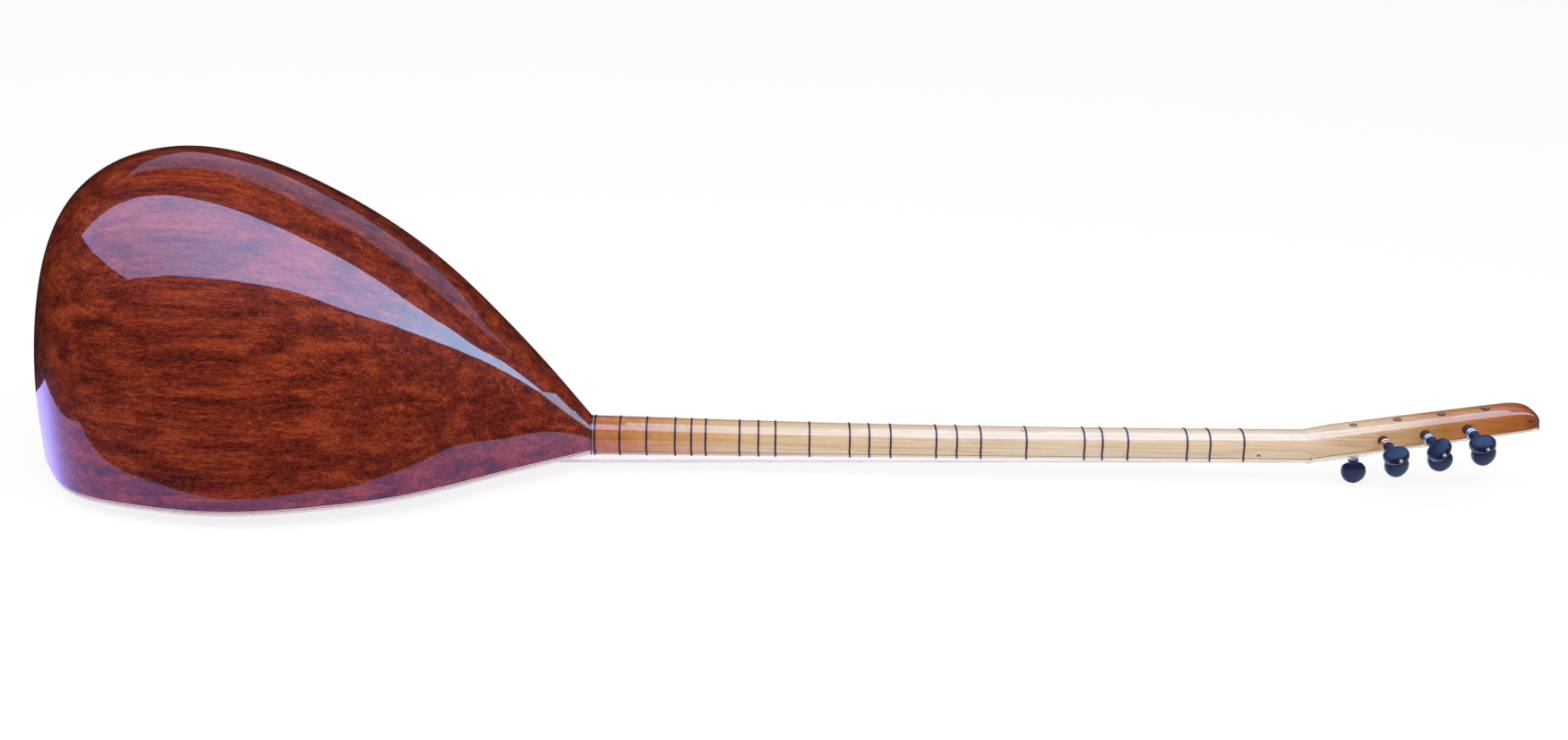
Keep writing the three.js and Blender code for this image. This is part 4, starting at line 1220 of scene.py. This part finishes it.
dim, wire, point = new_finish("dim curtain")
folds = point.streaks(0.2, 1, detail=2.0)
lay_on(
    wire, wire.blend(folds, (0.010, 0.008, 0.008), (0.016, 0.013, 0.012)), 0.9,
    wire.bump(folds, 0.0), shine=0.0,
)


def glowing(name, strength, stops):
    """A soft cloth lit from behind, whose colour changes along the instrument."""
    finish, wire, point = new_finish(name)
    colour = (point.axis(0) * 0.1 + 0.5).ramp(stops)
    glow = wire.put("ShaderNodeEmission", {"Color": colour, "Strength": strength})
    wire.put("ShaderNodeOutputMaterial", {"Surface": glow})
    return finish


def screen(name, finish, corners):
    """A cloth that only the lacquer mirrors."""
    bpy.ops.mesh.primitive_grid_add(x_subdivisions=6, y_subdivisions=6, size=1)
    cloth = bpy.context.active_object
    cloth.name = name
    near, far, lift, rise = (Vector(corner) for corner in corners)
    for corner in cloth.data.vertices:
        across = corner.co.x + 0.5
        up = corner.co.y + 0.5
        corner.co = near.lerp(far, across).lerp(lift.lerp(rise, across), up)
    cloth.data.materials.append(finish)
    cloth.visible_camera = False
    cloth.visible_diffuse = False
    cloth.visible_shadow = False
    cloth.visible_transmission = False


def level(left, right, front, back, height):
    """The corners of a level rectangle."""
    return [(x, y, height) for y in (front, back) for x in (left, right)]


LEFT, RIGHT, FRONT, BACK, TOP = -4, 6, -5, 6, 6
LOW = 0.004
screen("screen_low", dim, level(LEFT, RIGHT, -0.2, FRONT, LOW))
screen("screen_tail", dim, level(LEFT, -0.86, -0.2, BACK, LOW))
screen("screen_neck", dim, [
    (-0.12, -0.2, LOW), (RIGHT, -0.2, LOW), (0.06, -0.06, LOW), (RIGHT, -0.06, LOW),
])
screen("screen_far", dim, level(-0.86, RIGHT, 0.2, BACK, LOW))
screen("screen_tail_far", dim, [
    (-0.86, 0.10, LOW), (-0.40, 0.14, LOW), (-0.86, 0.21, LOW), (-0.40, 0.21, LOW),
])
for name, start, end in (
    ("screen_front", (LEFT, FRONT), (RIGHT, FRONT)),
    ("screen_left", (LEFT, FRONT), (LEFT, BACK)),
    ("screen_right", (RIGHT, FRONT), (RIGHT, BACK)),
    ("screen_back", (LEFT, BACK), (RIGHT, BACK)),
):
    screen(name, dim, [(*start, 0), (*end, 0), (*start, TOP), (*end, TOP)])
screen("screen_top", dim, level(LEFT, RIGHT, FRONT, BACK, TOP))

lavender = glowing("lavender cloth", 15.0, [
    (0.25, (0.200, 0.19, 0.37)), (0.55, (0.35, 0.385, 0.69)),
    (0.72, (0.35, 0.61, 1.00)), (0.90, (0.35, 0.66, 1.00)),
])
mauve = glowing("mauve cloth", 1.4, [(0.3, (0.38, 0.45, 0.80)), (0.8, (0.34, 0.54, 1.00))])
pale_blue = glowing("pale blue cloth", 8.0, [(0.4, (0.40, 0.72, 1.00)), (0.9, (0.40, 0.72, 1.00))])
table = glowing("pale table", 4.5, [
    (0.40, (0.21, 0.19, 0.52)), (0.48, (0.24, 0.20, 0.56)),
    (0.53, (0.62, 0.80, 1.00)), (0.90, (0.62, 0.86, 1.00)),
])
screen("sky_front", lavender, [
    (-3.9, -0.1, 1.6), (4.6, -0.2, 1.6), (-3.2, -2.4, 1.6), (3.4, -0.82, 1.6),
])
screen("sky_back", mauve, [(-1.8, 0.75, 1.6), (2.4, 1.0, 1.6), (-1.4, 2.6, 1.6), (1.4, 3.0, 1.6)])
screen("sky_neck", pale_blue, level(0.069, 0.68, -0.075, 0.10, 0.2))
screen("sky_joint", pale_blue, [
    (-0.160, -0.024, 0.075), (0.069, -0.024, 0.075), (-0.160, 0.004, 0.075), (0.069, 0.006, 0.075),
])
TABLE = 0.003
screen("table_bowl", table, level(-0.86, -0.12, -0.2, 0.2, TABLE))
screen("table_joint", table, [
    (-0.12, -0.2, TABLE), (0.06, -0.06, TABLE), (-0.12, 0.2, TABLE), (0.06, 0.2, TABLE),
])
screen("table_neck", table, level(0.06, 0.9, -0.06, 0.2, TABLE))

LAMP_LENGTH = 3.6
LAMP_WIDTH = 2.0
LAMP_STRENGTH = 4.8
bpy.ops.object.light_add(
    type="AREA", location=(-0.1, -0.9, 2.0), rotation=(math.radians(20), 0, 0)
)
overhead = bpy.context.active_object
overhead.name = "overhead"
overhead.data.shape = "RECTANGLE"
overhead.data.size = LAMP_LENGTH
overhead.data.size_y = LAMP_WIDTH
overhead.data.energy = LAMP_STRENGTH * LAMP_LENGTH * LAMP_WIDTH
overhead.visible_camera = False
overhead.visible_glossy = False

world = bpy.data.worlds.new("pale room")
bpy.context.scene.world = world
world.use_nodes = True
world.node_tree.nodes.clear()
wire = Wire(world.node_tree)
room = wire.put("ShaderNodeBackground", {
    "Color": (1.0, 1.0, 1.0),
    "Strength": 0.65 + plain_view(wire) * 0.35,
})
wire.put("ShaderNodeOutputWorld", {"Surface": room})

view = bpy.context.scene.view_settings
view.view_transform = "Standard"
